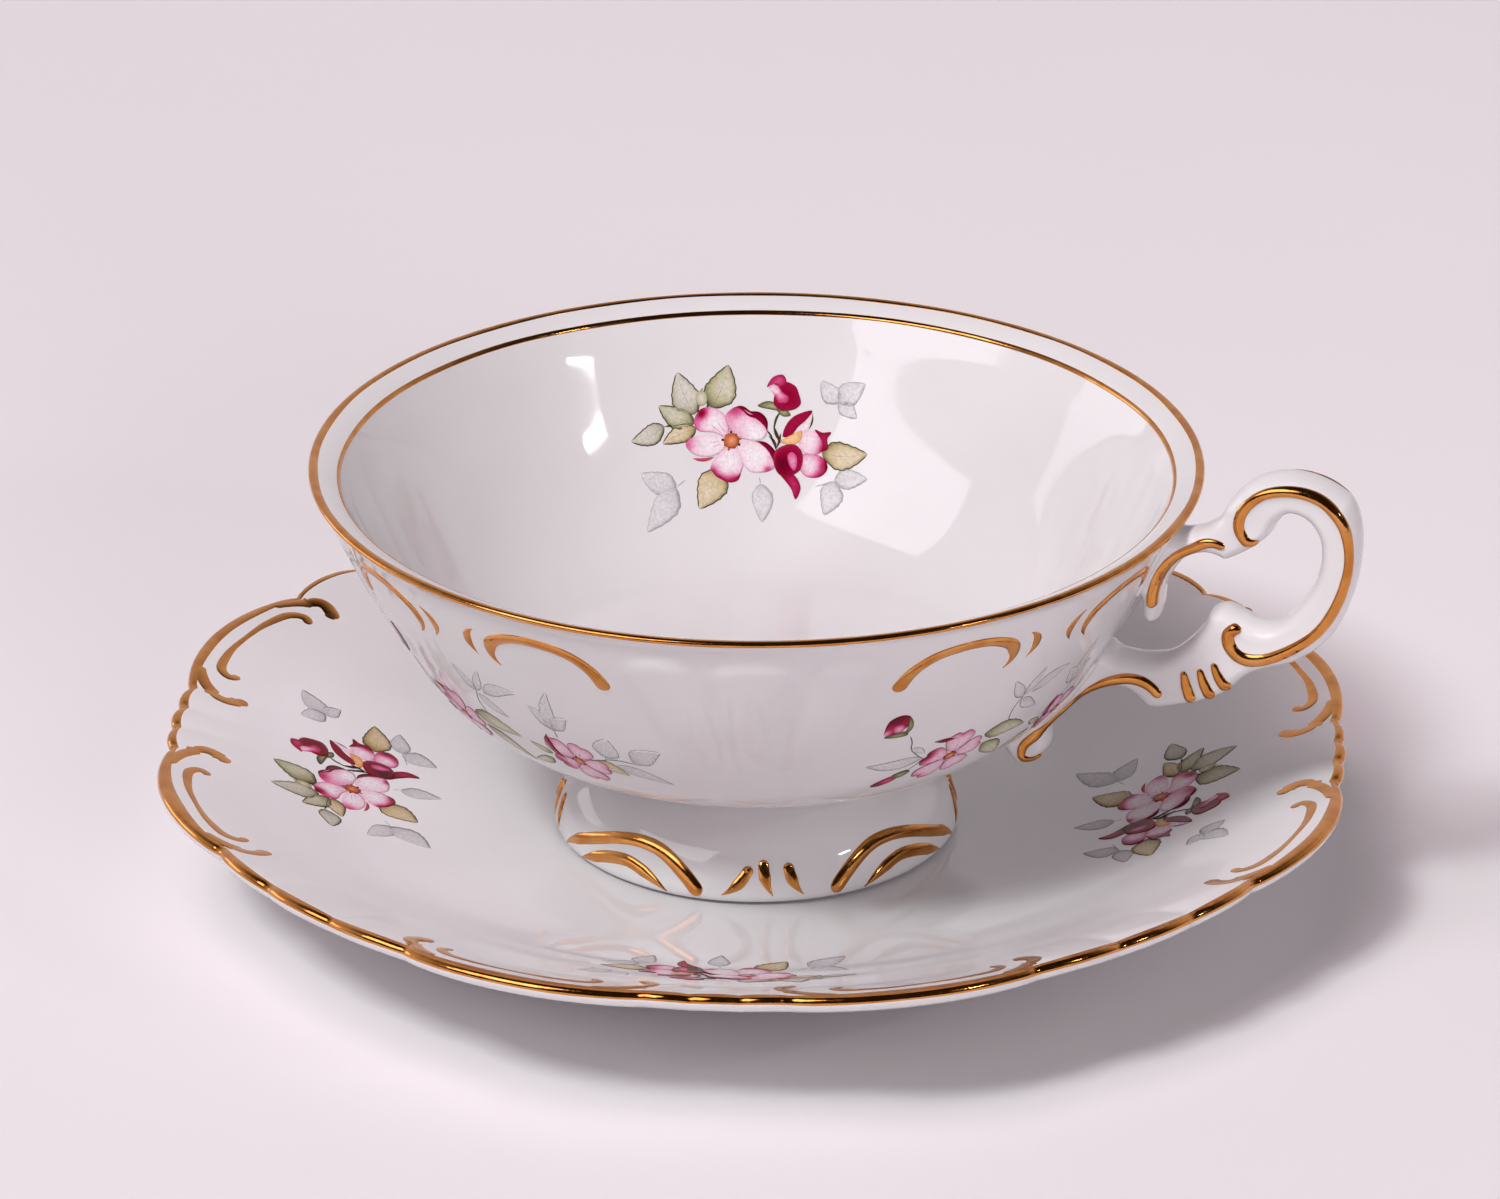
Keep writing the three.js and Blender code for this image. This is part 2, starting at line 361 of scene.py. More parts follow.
def plate(build, skin, outline, hub, lift, colour, rings=6, steps=6):
    """Filled printed shape. colour(x, y, share) gives its colour, share being 1 at the edge."""
    loop = smooth_line(outline, steps, closed=True)[:-1]
    hub = np.asarray(hub, float)
    shares = np.linspace(0, 1, rings + 1)[1:]
    flat = np.vstack([hub[None]] + [hub + share * (loop - hub) for share in shares])
    share = np.concatenate([[0], np.repeat(shares, len(loop))])
    shades = colour(flat[:, 0], flat[:, 1], share)
    around, size = len(loop), len(flat)
    points = np.vstack([skin.place(*flat.T, lift), skin.place(*flat.T, -EDGE_SUNK)])
    faces = []
    for side in (0, size):
        for j in range(around):
            k = (j + 1) % around
            faces.append((side, side + 1 + j, side + 1 + k))
            for ring in range(rings - 1):
                a, b = side + 1 + ring * around, side + 1 + (ring + 1) * around
                faces.append((a + j, b + j, b + k, a + k))
    edge = 1 + (rings - 1) * around
    for j in range(around):
        k = (j + 1) % around
        faces.append((edge + j, edge + k, size + edge + k, size + edge + j))
    build.add(points, faces, np.vstack([shades, shades]))


# ---------------------------------------------------------------- materials

def set_inputs(tree, node, **values):
    """Sets or feeds a node's inputs; an underscore stands for the space in an input's name."""
    for name, value in values.items():
        socket = node.inputs[name.replace("_", " ")]
        if isinstance(value, bpy.types.NodeSocket):
            tree.links.new(value, socket)
        else:
            socket.default_value = value


def add_node(tree, kind, **values):
    node = tree.nodes.new("ShaderNode" + kind)
    set_inputs(tree, node, **values)
    return node


def add_noise(tree, scale, detail, distortion=0.0):
    where = add_node(tree, "TexCoord").outputs["Object"]
    noise = add_node(tree, "TexNoise", Vector=where, Scale=scale, Detail=detail,
                     Distortion=distortion)
    return noise.outputs["Fac"]


def add_ramp(tree, source, stops):
    ramp = add_node(tree, "ValToRGB", Fac=source)
    elements = ramp.color_ramp.elements
    while len(elements) < len(stops):
        elements.new(0.5)
    for element, (place, colour) in zip(elements, stops):
        element.position = place
        element.color = (*colour, 1)
    return ramp.outputs["Color"]


def add_range(tree, noise, low, high):
    """Values from low to high over the middle part of a noise."""
    spread = add_node(tree, "MapRange", Value=noise, From_Min=0.3, From_Max=0.7, To_Min=low,
                      To_Max=high)
    return spread.outputs["Result"]


def add_bump(tree, noise, strength, distance):
    bump = add_node(tree, "Bump", Height=noise, Strength=strength, Distance=distance)
    return bump.outputs["Normal"]


def new_material(name):
    material = bpy.data.materials.new(name)
    material.use_nodes = True
    tree = material.node_tree
    return material, tree, tree.nodes["Principled BSDF"]


def porcelain_material(name, dark, light, roughness):
    """White glazed porcelain: a faint clouding of the body and a softly waving glaze."""
    material, tree, shader = new_material(name)
    cloud = add_noise(tree, 45, 4)
    fine = add_noise(tree, 900, 2)
    wave = add_noise(tree, 75, 1)
    set_inputs(tree, shader, IOR=1.5,
               Base_Color=add_ramp(tree, cloud, [(0.3, dark), (0.7, light)]),
               Roughness=add_range(tree, fine, roughness * 0.8, roughness * 1.25),
               Normal=add_bump(tree, wave, 0.25, 0.0002))
    return material


def gold_material():
    """Burnished liquid gold: brushed on thin, so its tone and gloss vary."""
    material, tree, shader = new_material("liquid_gold")
    tone = add_noise(tree, 260, 5, 0.6)
    streaks = add_noise(tree, 1400, 4, 1.2)
    ripple = add_noise(tree, 520, 3)
    tones = [(0.3, (0.58, 0.22, 0.045)), (0.52, (0.68, 0.285, 0.07)), (0.75, (0.78, 0.37, 0.12))]
    set_inputs(tree, shader, Metallic=1.0,
               Base_Color=add_ramp(tree, tone, tones),
               Roughness=add_range(tree, streaks, 0.07, 0.2),
               Normal=add_bump(tree, ripple, 0.35, 0.00012))
    return material


def enamel_material():
    """Printed enamel colours under the same gloss, mottled like a fine transfer print."""
    material, tree, shader = new_material("printed_enamel")
    print_colour = add_node(tree, "Attribute")
    print_colour.attribute_name = "enamel"
    mottle = add_noise(tree, 2600, 4)
    mottled = add_node(tree, "HueSaturation", Color=print_colour.outputs["Color"],
                       Value=add_range(tree, mottle, 0.86, 1.12))
    set_inputs(tree, shader, IOR=1.22,
               Base_Color=mottled.outputs["Color"],
               Roughness=add_range(tree, mottle, 0.12, 0.2),
               Normal=add_bump(tree, mottle, 0.1, 0.00003))
    return material


def table_material():
    material, tree, shader = new_material("pale_table")
    cloud = add_noise(tree, 6, 3)
    tones = [(0.3, (0.80, 0.775, 0.79)), (0.7, (0.82, 0.795, 0.81))]
    set_inputs(tree, shader, Roughness=0.75, Base_Color=add_ramp(tree, cloud, tones))
    return material


porcelain = porcelain_material("glazed_porcelain", (0.70, 0.682, 0.692), (0.735, 0.717, 0.727), 0.055)
slip = porcelain_material("glazed_slip", (0.68, 0.66, 0.67), (0.71, 0.69, 0.70), 0.1)
gold = gold_material()
enamel = enamel_material()


# ---------------------------------------------------------------- cup: bowl and foot

def plain(azimuth, radius, height):
    """No relief at any azimuth."""
    return radius + 0 * azimuth, height + 0 * azimuth


def wall_relief(azimuth, height):
    """Three raised flutes in each panel, fanning out towards the lip, with rounded tops."""
    flute_rise = 0.5
    from_middle = np.abs((azimuth - BOWL_PANEL + 45) % 90 - 45)
    half_flute = 4.0 + 3.1 * smoothstep(28, 52, height)
    u = from_middle / half_flute
    across = np.where(u < 1, u, (u - 1.75) / 0.75)
    top = 51.3 - 1.9 * np.clip(across, -1, 1) ** 2
    groove = np.exp(-((u - 1) / 0.3) ** 2)
    body = (1 - groove) * (1 - smoothstep(2.15, 2.7, u))
    fade = smoothstep(27, 42, height) * (1 - smoothstep(top - 1.6, top + 0.6, height))
    return flute_rise * body * fade


def bowl_shape(strength):
    """The flutes as a shape for revolved_skin, at full strength where it is 1."""
    def shape(azimuth, radius, height):
        return radius + strength * wall_relief(azimuth, height), height + 0 * azimuth
    return shape


WALL_TOP = (52.6, 52.0)      # where the wall ends and the lip flares
LIP_CREST = (54.45, 54.7)
bowl_sweep = bezier((NECK_RADIUS, BASE_HEIGHT), (40.4, 20.6), (43.6, 33.6), WALL_TOP, 120)
lip_flare = smooth_line([WALL_TOP, (53.3, 53.15), (54.1, 53.95), (54.55, 54.35), LIP_CREST], 8)
lip_turn = smooth_line([LIP_CREST, (54.1, 54.82), (53.2, 54.6), (52, 54.1),
                        (INNER_LINE_RADIUS, 53.45)], 10)
bowl_outside = Line(np.vstack([[(0, BASE_HEIGHT)], bowl_sweep, lip_flare[1:]]))
bowl_hollow = pushed(bowl_sweep, -WALL)
bowl_inside = Line(np.vstack([
    smooth_line([(0, 22.3), (9, 22.35), (17, 22.6), bowl_hollow[30]], 10)[:-1],
    bowl_hollow[30:114],
    lip_turn[::-1],
]))
bowl_outer = revolved_skin(bowl_outside, bowl_shape(1.3), 1)
bowl_inner = revolved_skin(bowl_inside, bowl_shape(0.2), -1)


def make_bowl():
    build = Build()
    neck = bowl_outside.mark_of_radius(NECK_RADIUS)
    under_lip = bowl_outside.mark_of_height(51.5)
    inner_lip = bowl_inside.mark_of_height(50.5)
    outer_rows = np.concatenate([
        [0], rows_of(neck, under_lip, 0.9), rows_of(under_lip, bowl_outside.length, 0.28)[1:]])
    inner_rows = np.concatenate([
        rows_of(bowl_inside.length, inner_lip, 0.35)[1:], rows_of(inner_lip, 6, 1.0)[1:], [0]])
    revolve(build, full_turn(384), [(bowl_outer, outer_rows), (bowl_inner, inner_rows)])
    build.piece("porcelain_bowl", porcelain, "cup", "porcelain", ["cup_bowl"])


FOOT_TOP = BASE_HEIGHT - 0.6
foot_outside = Line(smooth_line([
    (FOOT_RADIUS - 0.5, SEAT_HEIGHT), (FOOT_RADIUS + 0.05, 7.0), (FOOT_RADIUS + 0.15, 7.6),
    (FOOT_RADIUS - 0.2, 9.1), (23.9, 11.3), (22.3, 13.6), (20.0, 15.7), (18.2, 17.3),
    (17.2, FOOT_TOP - 0.5), (NECK_RADIUS, FOOT_TOP + 0.3)], 12))
foot_inside = Line(smooth_line([
    (13, FOOT_TOP + 0.3), (13.8, 16.6), (17.2, 14.2), (20.3, 11.6), (21.9, 9),
    (22.6, SEAT_HEIGHT + 0.6), (23.2, SEAT_HEIGHT)], 12))


def foot_shape(azimuth, radius, height):
    """Shallow oval panels between the groups of strokes."""
    from_corner = (azimuth - FOOT_PANEL) % 90 - 45
    inside = np.exp(-(from_corner / 17) ** 4) * np.exp(-((height - 9.0) / 2.4) ** 4)
    return radius - 0.22 * inside, height + 0 * azimuth


foot_outer = revolved_skin(foot_outside, foot_shape, 1)
foot_inner = revolved_skin(foot_inside, plain, 1)


def make_foot():
    build = Build()
    revolve(build, full_turn(256), [
        (foot_outer, rows_of(0, foot_outside.length, 0.35)),
        (foot_inner, rows_of(0, foot_inside.length, 0.8))], on_axis=False)
    build.piece("porcelain_foot", porcelain, "cup", "porcelain", ["cup_foot"])


def make_neck():
    """Slip worked into the corner between the foot and the bowl."""
    build = Build()
    fillet = [(-0.3, -1.2), (0.35, -1.05), (0.35, -0.45), (1.2, 0), (1.9, 0.12), (1, 0.5),
              (-0.8, 0.5)]
    line = Line(smooth_line(np.array(fillet) + (NECK_RADIUS, BASE_HEIGHT), 8))
    ring = revolved_skin(line, plain, 1)
    revolve(build, full_turn(192), [(ring, rows_of(0, line.length, 0.2))], on_axis=False)
    build.piece("neck_slip_ring", slip, "cup", "clay_joint", ["foot_joint"])


def waver(azimuths, *waves):
    """Unsteadiness of a hand-drawn line, from (size, number in a full turn) of its waves."""
    return sum(size * np.sin(np.radians(azimuths * number)) for size, number in waves)


def make_lip_gold():
    build = Build()
    lip = Line(np.vstack([bowl_outside.points[-26:], lip_turn[1:26]]))
    azimuths = full_turn(512)
    uneven = waver(azimuths, (0.06, 7), (0.04, 19))
    start = np.interp(LIP_HEIGHT - 0.55, lip.points[:26, 1], lip.marks[:26])
    band(build, revolved_skin(lip, plain, 1), azimuths, start - 0.25 + uneven,
         start + 1.45 - uneven, 0.09, 13)
    build.piece("lip_gold_band", gold, "cup", "gold", ["cup_lip_gilding"])


def make_inner_line():
    build = Build()
    azimuths = full_turn(512)
    middle = bowl_inside.mark_of_radius(INNER_LINE_RADIUS) + waver(azimuths, (0.05, 5), (0.03, 13))
    band(build, bowl_inner, azimuths, middle - 0.4, middle + 0.4, 0.07, 7)
    build.piece("inner_gold_line", gold, "cup", "gold", ["cup_inner_gold_line"])


# Gold scrolls of one half panel: degrees from the panel's middle, and height
BOWL_ARC = [(20.3, 44.9), (21, 46.5), (22.3, 48.1), (25, 49.7), (30, 50.4), (34, 49.9),
            (37.2, 48.4), (38.0, 46.6), (36.9, 45.0)]
BOWL_COMMA = [(39.8, 49.7), (41.2, 48.7), (41.7, 47.4), (40.7, 45.6)]


def make_bowl_gold():
    build = Build()
    for quarter in QUARTERS:
        for side in (-1, 1):
            arc, comma = ([(BOWL_PANEL + quarter + side * degrees, bowl_outside.mark_of_height(z))
                           for degrees, z in stroke] for stroke in (BOWL_ARC, BOWL_COMMA))
            ribbon(build, bowl_outer, arc, [2.2, 1.9, 1.7, 1.6, 1.55, 1.55, 1.7, 1.9, 1.4], 0.26,
                   ends=TAPERED)
            ribbon(build, bowl_outer, comma, [1.0, 1.4, 1.35, 0.9], 0.18, ends=POINTED)
    build.piece("bowl_gold_scrolls", gold, "cup", "gold")


# Gold at the foot, in degrees and height: arcs from the middle of a corner, strokes from a panel's
FOOT_BIG_ARC = [(-27, 7.2), (-23, 8.4), (-13.4, 10.1), (-3, 11.6), (5, 12.1), (12, 11.8),
                (18, 10.6), (23, 8.9), (26, 7.4)]
FOOT_SMALL_ARC = [(-17, 7.1), (-12, 8), (-5, 9), (2, 9.4), (8, 8.8), (13, 7.9), (16, 7.15)]
FOOT_STROKES = [[(-4.8, 11.2), (-7.5, 9.4), (-12.8, 7.7)], [(-0.8, 11.9), (-0.6, 10), (1.6, 7.7)],
                [(6.2, 11.5), (7.2, 9.6), (10.3, 7.7)]]


def make_foot_gold():
    build = Build()

    def paint(stroke, middle, turn, widths, ends):
        path = [(middle + turn * degrees, foot_outside.mark_of_height(z)) for degrees, z in stroke]
        ribbon(build, foot_outer, path, widths, 0.28, ends=ends)

    for quarter in QUARTERS:
        panel = FOOT_PANEL + quarter
        turn = 1 if quarter in (0, 180) else -1
        paint(FOOT_BIG_ARC, panel - 45, turn, [1.3, 1.5, 1.6, 1.6, 1.6, 1.7, 1.8, 1.9, 1.9],
              ("point", "round"))
        paint(FOOT_SMALL_ARC, panel - 45, turn, [1.2, 1.5, 1.6, 1.6, 1.6, 1.7, 1.6], POINTED)
        for stroke in FOOT_STROKES:
            paint(stroke, panel, 1, [1.3, 1.5, 0.9], TAPERED)
    build.piece("foot_gold_strokes", gold, "cup", "gold")


# ---------------------------------------------------------------- saucer

SCALLOPS = [  # copies, degrees wide, outward rise, crest height, extra width of the gold edge
    (3, 14 / 3, 0.6, 0.35, 0.15),
    (1, 24, 2.5, 0.8, 0.5),
    (3, 28 / 3, 0.9, 0.6, 0.2),
    (1, 24, 2.5, 0.8, 0.5),
]
SCALLOP_START = SAUCER_PAIR - 7
around_saucer = SCALLOP_START + full_turn(540)


def scallop_values(azimuth):
    """Outward rise, crest height and extra gold width at an azimuth."""
    left = (np.asarray(azimuth, float) - SCALLOP_START) % 90
    rise, crest, gilt = (np.zeros_like(left) for _ in range(3))
    start = 0.0
    for copies, width, outward, upward, extra in SCALLOPS:
        here = (left >= start) & (left <= start + copies * width + 1e-9)
        swell = np.abs(np.sin(math.pi * (left - start) / width)) ** 0.7
        rise = np.where(here, outward * swell, rise)
        crest = np.where(here, upward * swell, crest)
        gilt = np.where(here, extra * swell, gilt)
        start += copies * width
    return rise, crest, gilt


def saucer_shape(azimuth, radius, height):
    """The rim drawn out into scallops and lifted at their crests."""
    rise, crest, _ = scallop_values(azimuth)
    grown = radius + rise * smoothstep(FLARE_START, RIM_RADIUS, radius)
    return grown, height + (crest - 0.15) * smoothstep(FLARE_START + 2, RIM_RADIUS - 1, radius)


saucer_top = [(0, WELL_HEIGHT), (18, WELL_HEIGHT), (31, WELL_HEIGHT), (40, 6.9), (50, 9.5),
              (60, 13.7), (66, 16.2), (70.2, 17.6)]
saucer_edge = [(71.3, 17.85), (72, 17.75), (RIM_RADIUS, 17.2), (72.1, 16.45), (71.1, 15.6)]
saucer_under = [(radius, height - SAUCER_WALL) for radius, height in saucer_top[6:2:-1]]
saucer_foot = [(36.2, 2.9), (34.9, 1.9), (34.4, 0.6), (33.6, 0), (31.8, 0), (31.0, 0.6),
               (30.6, 2), (28.5, 2.5), (15, 2.6), (0, 2.6)]
saucer_section = smooth_line(saucer_top + saucer_edge + saucer_under + saucer_foot, 14)
saucer_line = Line(np.maximum(saucer_section, 0))
widest = int(np.argmax(saucer_line.points[:, 0]))
saucer_rim_mark = saucer_line.marks[widest]
saucer_top_line = Line(saucer_line.points[:widest + 1])
saucer_skin = revolved_skin(saucer_line, saucer_shape, -1)


def make_saucer():
    build = Build()
    rim, end = saucer_rim_mark, saucer_line.length
    foot_ring, foot_inside_edge = end - 36, end - 27
    stretches = [
        (8, saucer_top_line.mark_of_radius(FLARE_START), 1.4),
        (saucer_top_line.mark_of_radius(FLARE_START), rim - 2.5, 0.8),
        (rim - 2.5, rim + 2.5, 0.25),
        (rim + 2.5, foot_ring, 1.2),
        (foot_ring, foot_inside_edge, 0.35),
        (foot_inside_edge, end - 6, 4)]
    rows = np.concatenate([[0, 8], *(rows_of(*stretch)[1:] for stretch in stretches), [end]])
    revolve(build, around_saucer, [(saucer_skin, rows)])
    build.piece("porcelain_saucer", porcelain, "saucer", "porcelain", ["saucer_body"])


def make_saucer_edge():
    build = Build()
    gilt = scallop_values(around_saucer)[2]
    uneven = 0.12 * waver(around_saucer, (1, 23)) * waver(around_saucer, (1, 7))
    low = saucer_rim_mark - 1.5 - 1.7 * gilt + uneven
    high = saucer_rim_mark + 0.05 + 0.5 * uneven
    band(build, saucer_skin, around_saucer, low, high, 0.09, 15)
    build.piece("saucer_gold_edge", gold, "saucer", "gold", ["saucer_rim_gilding"])


# Gold scrolls of one lobe: degrees from the lobe's middle, away from its pair, and radius
NEAR_CURL = [(-7.6, 70.9), (-10.6, 70.1), (-12.4, 68.6), (-12.6, 67.1), (-11.8, 65.8), (-11, 65.1)]
FAR_CURL = [(8.4, 71), (11.4, 70.3), (12.9, 69.1), (13, 67.6), (12, 66.1)]
LOBE_INNER = [(-6.6, 66.6), (-7.5, 67.6), (-6.8, 68.6), (-3.6, 68.9), (1, 68.8), (5.6, 68.9),
              (8.6, 68.7), (9.5, 67.7), (8.8, 66.5)]
LOBE_STROKES = [
    (LOBE_INNER, [1.4, 1.5, 1.3, 0.95, 0.8, 0.95, 1.3, 1.5, 1.5], 0.1),
    (NEAR_CURL, [1.3, 1.7, 1.9, 1.9, 2.0, 2.1], 0.11),
    (FAR_CURL, [1.3, 1.7, 1.9, 2.0, 2.1], 0.11)]
LOBE_MIDDLE = 19             # degrees from the middle of its pair


def make_saucer_gold():
    build = Build()
    for quarter in QUARTERS:
        for side in (-1, 1):
            for stroke, widths, height in LOBE_STROKES:
                path = [(SAUCER_PAIR + quarter + side * (LOBE_MIDDLE + degrees),
                         saucer_top_line.mark_of_radius(radius)) for degrees, radius in stroke]
                ribbon(build, saucer_skin, path, widths, height)
    build.piece("saucer_gold_scrolls", gold, "saucer", "gold")


# ---------------------------------------------------------------- handle

# (x, z) points on the handle: its outline between sharp corners, and its gold lines
HANDLE_OUTLINE = [
    [(48, 52.4), (55.5, 53.2), (58.4, 55.1), (60, 57.8), (62.5, 60.4), (66.6, 61.8), (70.8, 61.3),
     (74.5, 59.3)],
    [(74.5, 59.3), (75.8, 56), (75.9, 51), (74.9, 46.2), (72.6, 41.3), (68.7, 37.9), (63.3, 35.6),
     (59.2, 32), (54.1, 30), (50.6, 29.4), (48.6, 30.9), (47, 31.5), (42.4, 29.8), (39.7, 27),
     (38, 24.6), (37.9, 22), (36.3, 20.2), (34.3, 19.4), (32.7, 20.8), (32, 22.5)],
    [(32, 22.5), (33, 26), (42, 36), (46.4, 35.9)],
    [(46.4, 35.9), (52, 36.2), (54.7, 38.2), (56.9, 41), (58, 43), (59.5, 43.6), (61.6, 42.9),
     (64, 42), (66.4, 42.6), (68.6, 45.1), (70.6, 48.6), (71.3, 52), (70.9, 54.8), (69.5, 56.6),
     (67.5, 57.1), (66, 55.9), (65, 54), (63.2, 52.2), (59.6, 50)],
    [(59.6, 50), (57.4, 50.6), (54.7, 49.6), (53, 47.4), (52.1, 45.2), (51.8, 42.6), (51.3, 40.9),
     (50.3, 40.6), (49.5, 41.5), (49.1, 44.6), (46.5, 47), (48, 52.4)],
]
HANDLE_LOOP = [(63.9, 53.7), (62.8, 53.3), (61.6, 54.9), (61.9, 57.2), (64.3, 59.7), (68.3, 60.6),
               (71.8, 59.7), (74.1, 57.3), (75.0, 54.2), (74.9, 50.6), (73.6, 46.2), (71.4, 42.6),
               (67.7, 39.6), (64.5, 38.1), (62.2, 38.1), (60.8, 39.4), (60.6, 41.0), (62.0, 42.0)]
HANDLE_UPPER = [(59.8, 52.2), (57.9, 52.6), (55.7, 51.5), (53.6, 50.1), (52.2, 48.3), (51.2, 45.7),
                (50.9, 43.1)]
HANDLE_LOWER = [(52.2, 31.4), (50.4, 33.0), (48, 33.3), (43.8, 31.5), (40.6, 28.4), (37.0, 24.4),
                (35.1, 22.3), (35.0, 20.9), (36.0, 20.6), (37.1, 21.3)]
HANDLE_STROKES = [[(55.1, 35.3), (55.5, 33.3), (56.2, 31.4)],
                  [(57.1, 35.9), (57.6, 34.1), (58.6, 32.2)],
                  [(58.8, 36.9), (59.4, 35.2), (60.6, 33.6)]]


def even_loop(parts, spacing):
    """Closed line through all the parts, with its points about spacing apart."""
    loop = np.vstack([smooth_line(part, 12)[:-1] for part in parts])
    loop = np.vstack([loop, loop[:1]])
    marks = np.concatenate([[0], np.cumsum(np.linalg.norm(np.diff(loop, axis=0), axis=1))])
    stops = np.linspace(0, marks[-1], int(marks[-1] / spacing), endpoint=False)
    return np.stack([np.interp(stops, marks, loop[:, k]) for k in (0, 1)], axis=1)


def wall_radius(height):
    """Radius of the bowl's outside at a height."""
    return np.interp(height, bowl_outside.points[1:, 1], bowl_outside.points[1:, 0])


handle_loop = even_loop(HANDLE_OUTLINE, 0.3)
handle_loop[:, 0] = np.maximum(handle_loop[:, 0], wall_radius(handle_loop[:, 1]) - HANDLE_SUNK)
handle_ridge = smooth_line(HANDLE_LOOP, 6)


def distance_to(points, line, closed):
    """Shortest distance from each (x, z) point to a line of points."""
    ends = np.vstack([line[1:], line[:1]]) if closed else line[1:]
    starts = line if closed else line[:-1]
    span = ends - starts
    best = np.full(len(points), 1e9)
    for block in range(0, len(points), 2000):
        some = points[block:block + 2000, None]
        share = ((some - starts) * span).sum(-1) / np.maximum((span * span).sum(-1), 1e-12)
        nearest = starts + np.clip(share, 0, 1)[..., None] * span
        best[block:block + 2000] = np.sqrt(((some - nearest) ** 2).sum(-1)).min(1)
    return best


def inside_loop(points, loop):
    """Which points lie inside a closed loop: a ray to their right crosses it an odd number of times."""
    ends = np.vstack([loop[1:], loop[:1]])
    x, z = points[:, :1], points[:, 1:]
    crosses = (loop[:, 1] > z) != (ends[:, 1] > z)
    rise = np.where(ends[:, 1] == loop[:, 1], 1e-12, ends[:, 1] - loop[:, 1])
    left = x < (ends[:, 0] - loop[:, 0]) * (z - loop[:, 1]) / rise + loop[:, 0]
    return (crosses & left).sum(1) % 2 == 1


def half_thickness(x, z):
    """Half the handle's thickness: round edges, a ridge under the gold loop, a flare at the wall."""
    flat = np.stack([x.ravel(), z.ravel()], axis=1)
    depth = np.where(inside_loop(flat, handle_loop), distance_to(flat, handle_loop, True), 0)
    rounding, ridge_height, ridge_spread, flare_share, flare_reach = 1.35, 0.25, 0.8, 0.35, 1.1
    share = np.clip(depth / rounding, 0, 1)
    widening = 1 + 0.06 * smoothstep(46, 57, flat[:, 1])
    body = HALF_HANDLE * 0.95 * widening * np.sqrt(1 - (1 - share) ** 2.2)
    ridge = ridge_height * np.exp(-(distance_to(flat, handle_ridge, False) / ridge_spread) ** 2)
    gap = np.maximum(flat[:, 0] - wall_radius(flat[:, 1]), 0)
    flare = 1 + flare_share * np.exp(-(gap / flare_reach) ** 1.5)
    return ((body + ridge * share) * flare).reshape(x.shape)


def handle_skin(side):
    """The handle's left or right face, with (x, z) for its coordinates."""
    def point(x, z):
        return np.stack([x, side * half_thickness(x, z), z], axis=-1)
    return Skin(point, -side)


def handle_points():
    """Outline, inner rings that follow it, and an even filling."""
    loop = handle_loop
    along = np.roll(loop, -1, 0) - np.roll(loop, 1, 0)
    along /= np.linalg.norm(along, axis=1)[:, None]
    inward = np.stack([along[:, 1], -along[:, 0]], axis=1)
    if not inside_loop(loop[:1] + 0.2 * inward[:1], loop)[0]:
        inward = -inward
    kept = [loop]
    for depth in (0.06, 0.22, 0.5, 0.9, 1.35, 1.8):
        ring = loop + depth * inward
        kept.append(ring[distance_to(ring, loop, True) > depth * 0.96])
    low, high = loop.min(0), loop.max(0)
    grid = np.stack(np.meshgrid(np.arange(low[0], high[0], 0.45),
                                np.arange(low[1], high[1], 0.45)), axis=-1).reshape(-1, 2)
    grid = grid[inside_loop(grid, loop)]
    kept.append(grid[distance_to(grid, loop, True) > 2.1])
    return np.vstack(kept)


def make_handle():
    """Both faces of the handle over one net of triangles, joined along the outline."""
    build = Build()
    rim = len(handle_loop)
    edges = [(i, (i + 1) % rim) for i in range(rim)]
    spots = [Vector(spot) for spot in handle_points().tolist()]
    net = delaunay_2d_cdt(spots, edges, [list(range(rim))], 1, 1e-6)
    flat = np.array([tuple(spot) for spot in net[0]])
    half = half_thickness(flat[:, 0], flat[:, 1])
    on_edge = distance_to(flat, handle_loop, True) < 1e-4
    half[on_edge] = 0
    near, far = (np.stack([flat[:, 0], side * half, flat[:, 1]], axis=1) for side in (-1, 1))
    twin = np.arange(len(flat)) + np.where(on_edge, 0, len(flat))
    faces = [face for face in net[2] if not on_edge[list(face)].all()]
    faces += [tuple(twin[i] for i in reversed(face)) for face in faces]
    used = np.unique(np.concatenate(faces))
    renumber = {old: new for new, old in enumerate(used.tolist())}
    build.add(np.vstack([near, far])[used], [[renumber[int(i)] for i in face] for face in faces])
    build.piece("porcelain_handle", porcelain, "cup", "porcelain", ["cup_handle"])


def make_handle_gold():
    build = Build()
    loop_widths = [1.4, 1.5, 1.4, 1.3, 1.4, 1.5, 1.5, 1.4, 1.3, 1.4, 1.4, 1.3, 1.3, 1.4, 1.5, 1.8,
                   1.8, 1.4]
    for side in (-1, 1):
        skin = handle_skin(side)
        ribbon(build, skin, HANDLE_LOOP, loop_widths, 0.28)
        ribbon(build, skin, HANDLE_UPPER, [1.1, 1.3, 1.3, 1.4, 1.6, 1.7, 1.5], 0.36)
        ribbon(build, skin, HANDLE_LOWER, [1.3, 1.6, 1.4, 1.2, 1.2, 1.2, 1.3, 1.3, 1.1, 1], 0.36)
        for stroke in HANDLE_STROKES:
            ribbon(build, skin, stroke, [0.8, 1.4, 1.6], 0.4)
    build.piece("handle_gold_lines", gold, "cup", "gold")


def make_seam(name, node, low, high):
    """Bead of slip round the place where an arm of the handle meets the bowl."""
    build = Build()
    heights = np.linspace(low, high, 40)
    half = half_thickness(wall_radius(heights) + 0.15, heights)
    kept = half > 0.5
    heights, half = heights[kept], half[kept]
    up = [(float(-np.degrees(h / wall_radius(z))), float(bowl_outside.mark_of_height(z)))
          for h, z in zip(half, heights)]
    down = [(-azimuth, mark) for azimuth, mark in reversed(up)]
    ribbon(build, bowl_outer, [*up, *down, up[0]][::2], [1.3, 1.3], 0.5, columns=9, spacing=0.5)
    build.piece(name, slip, "cup", "clay_joint", [node])


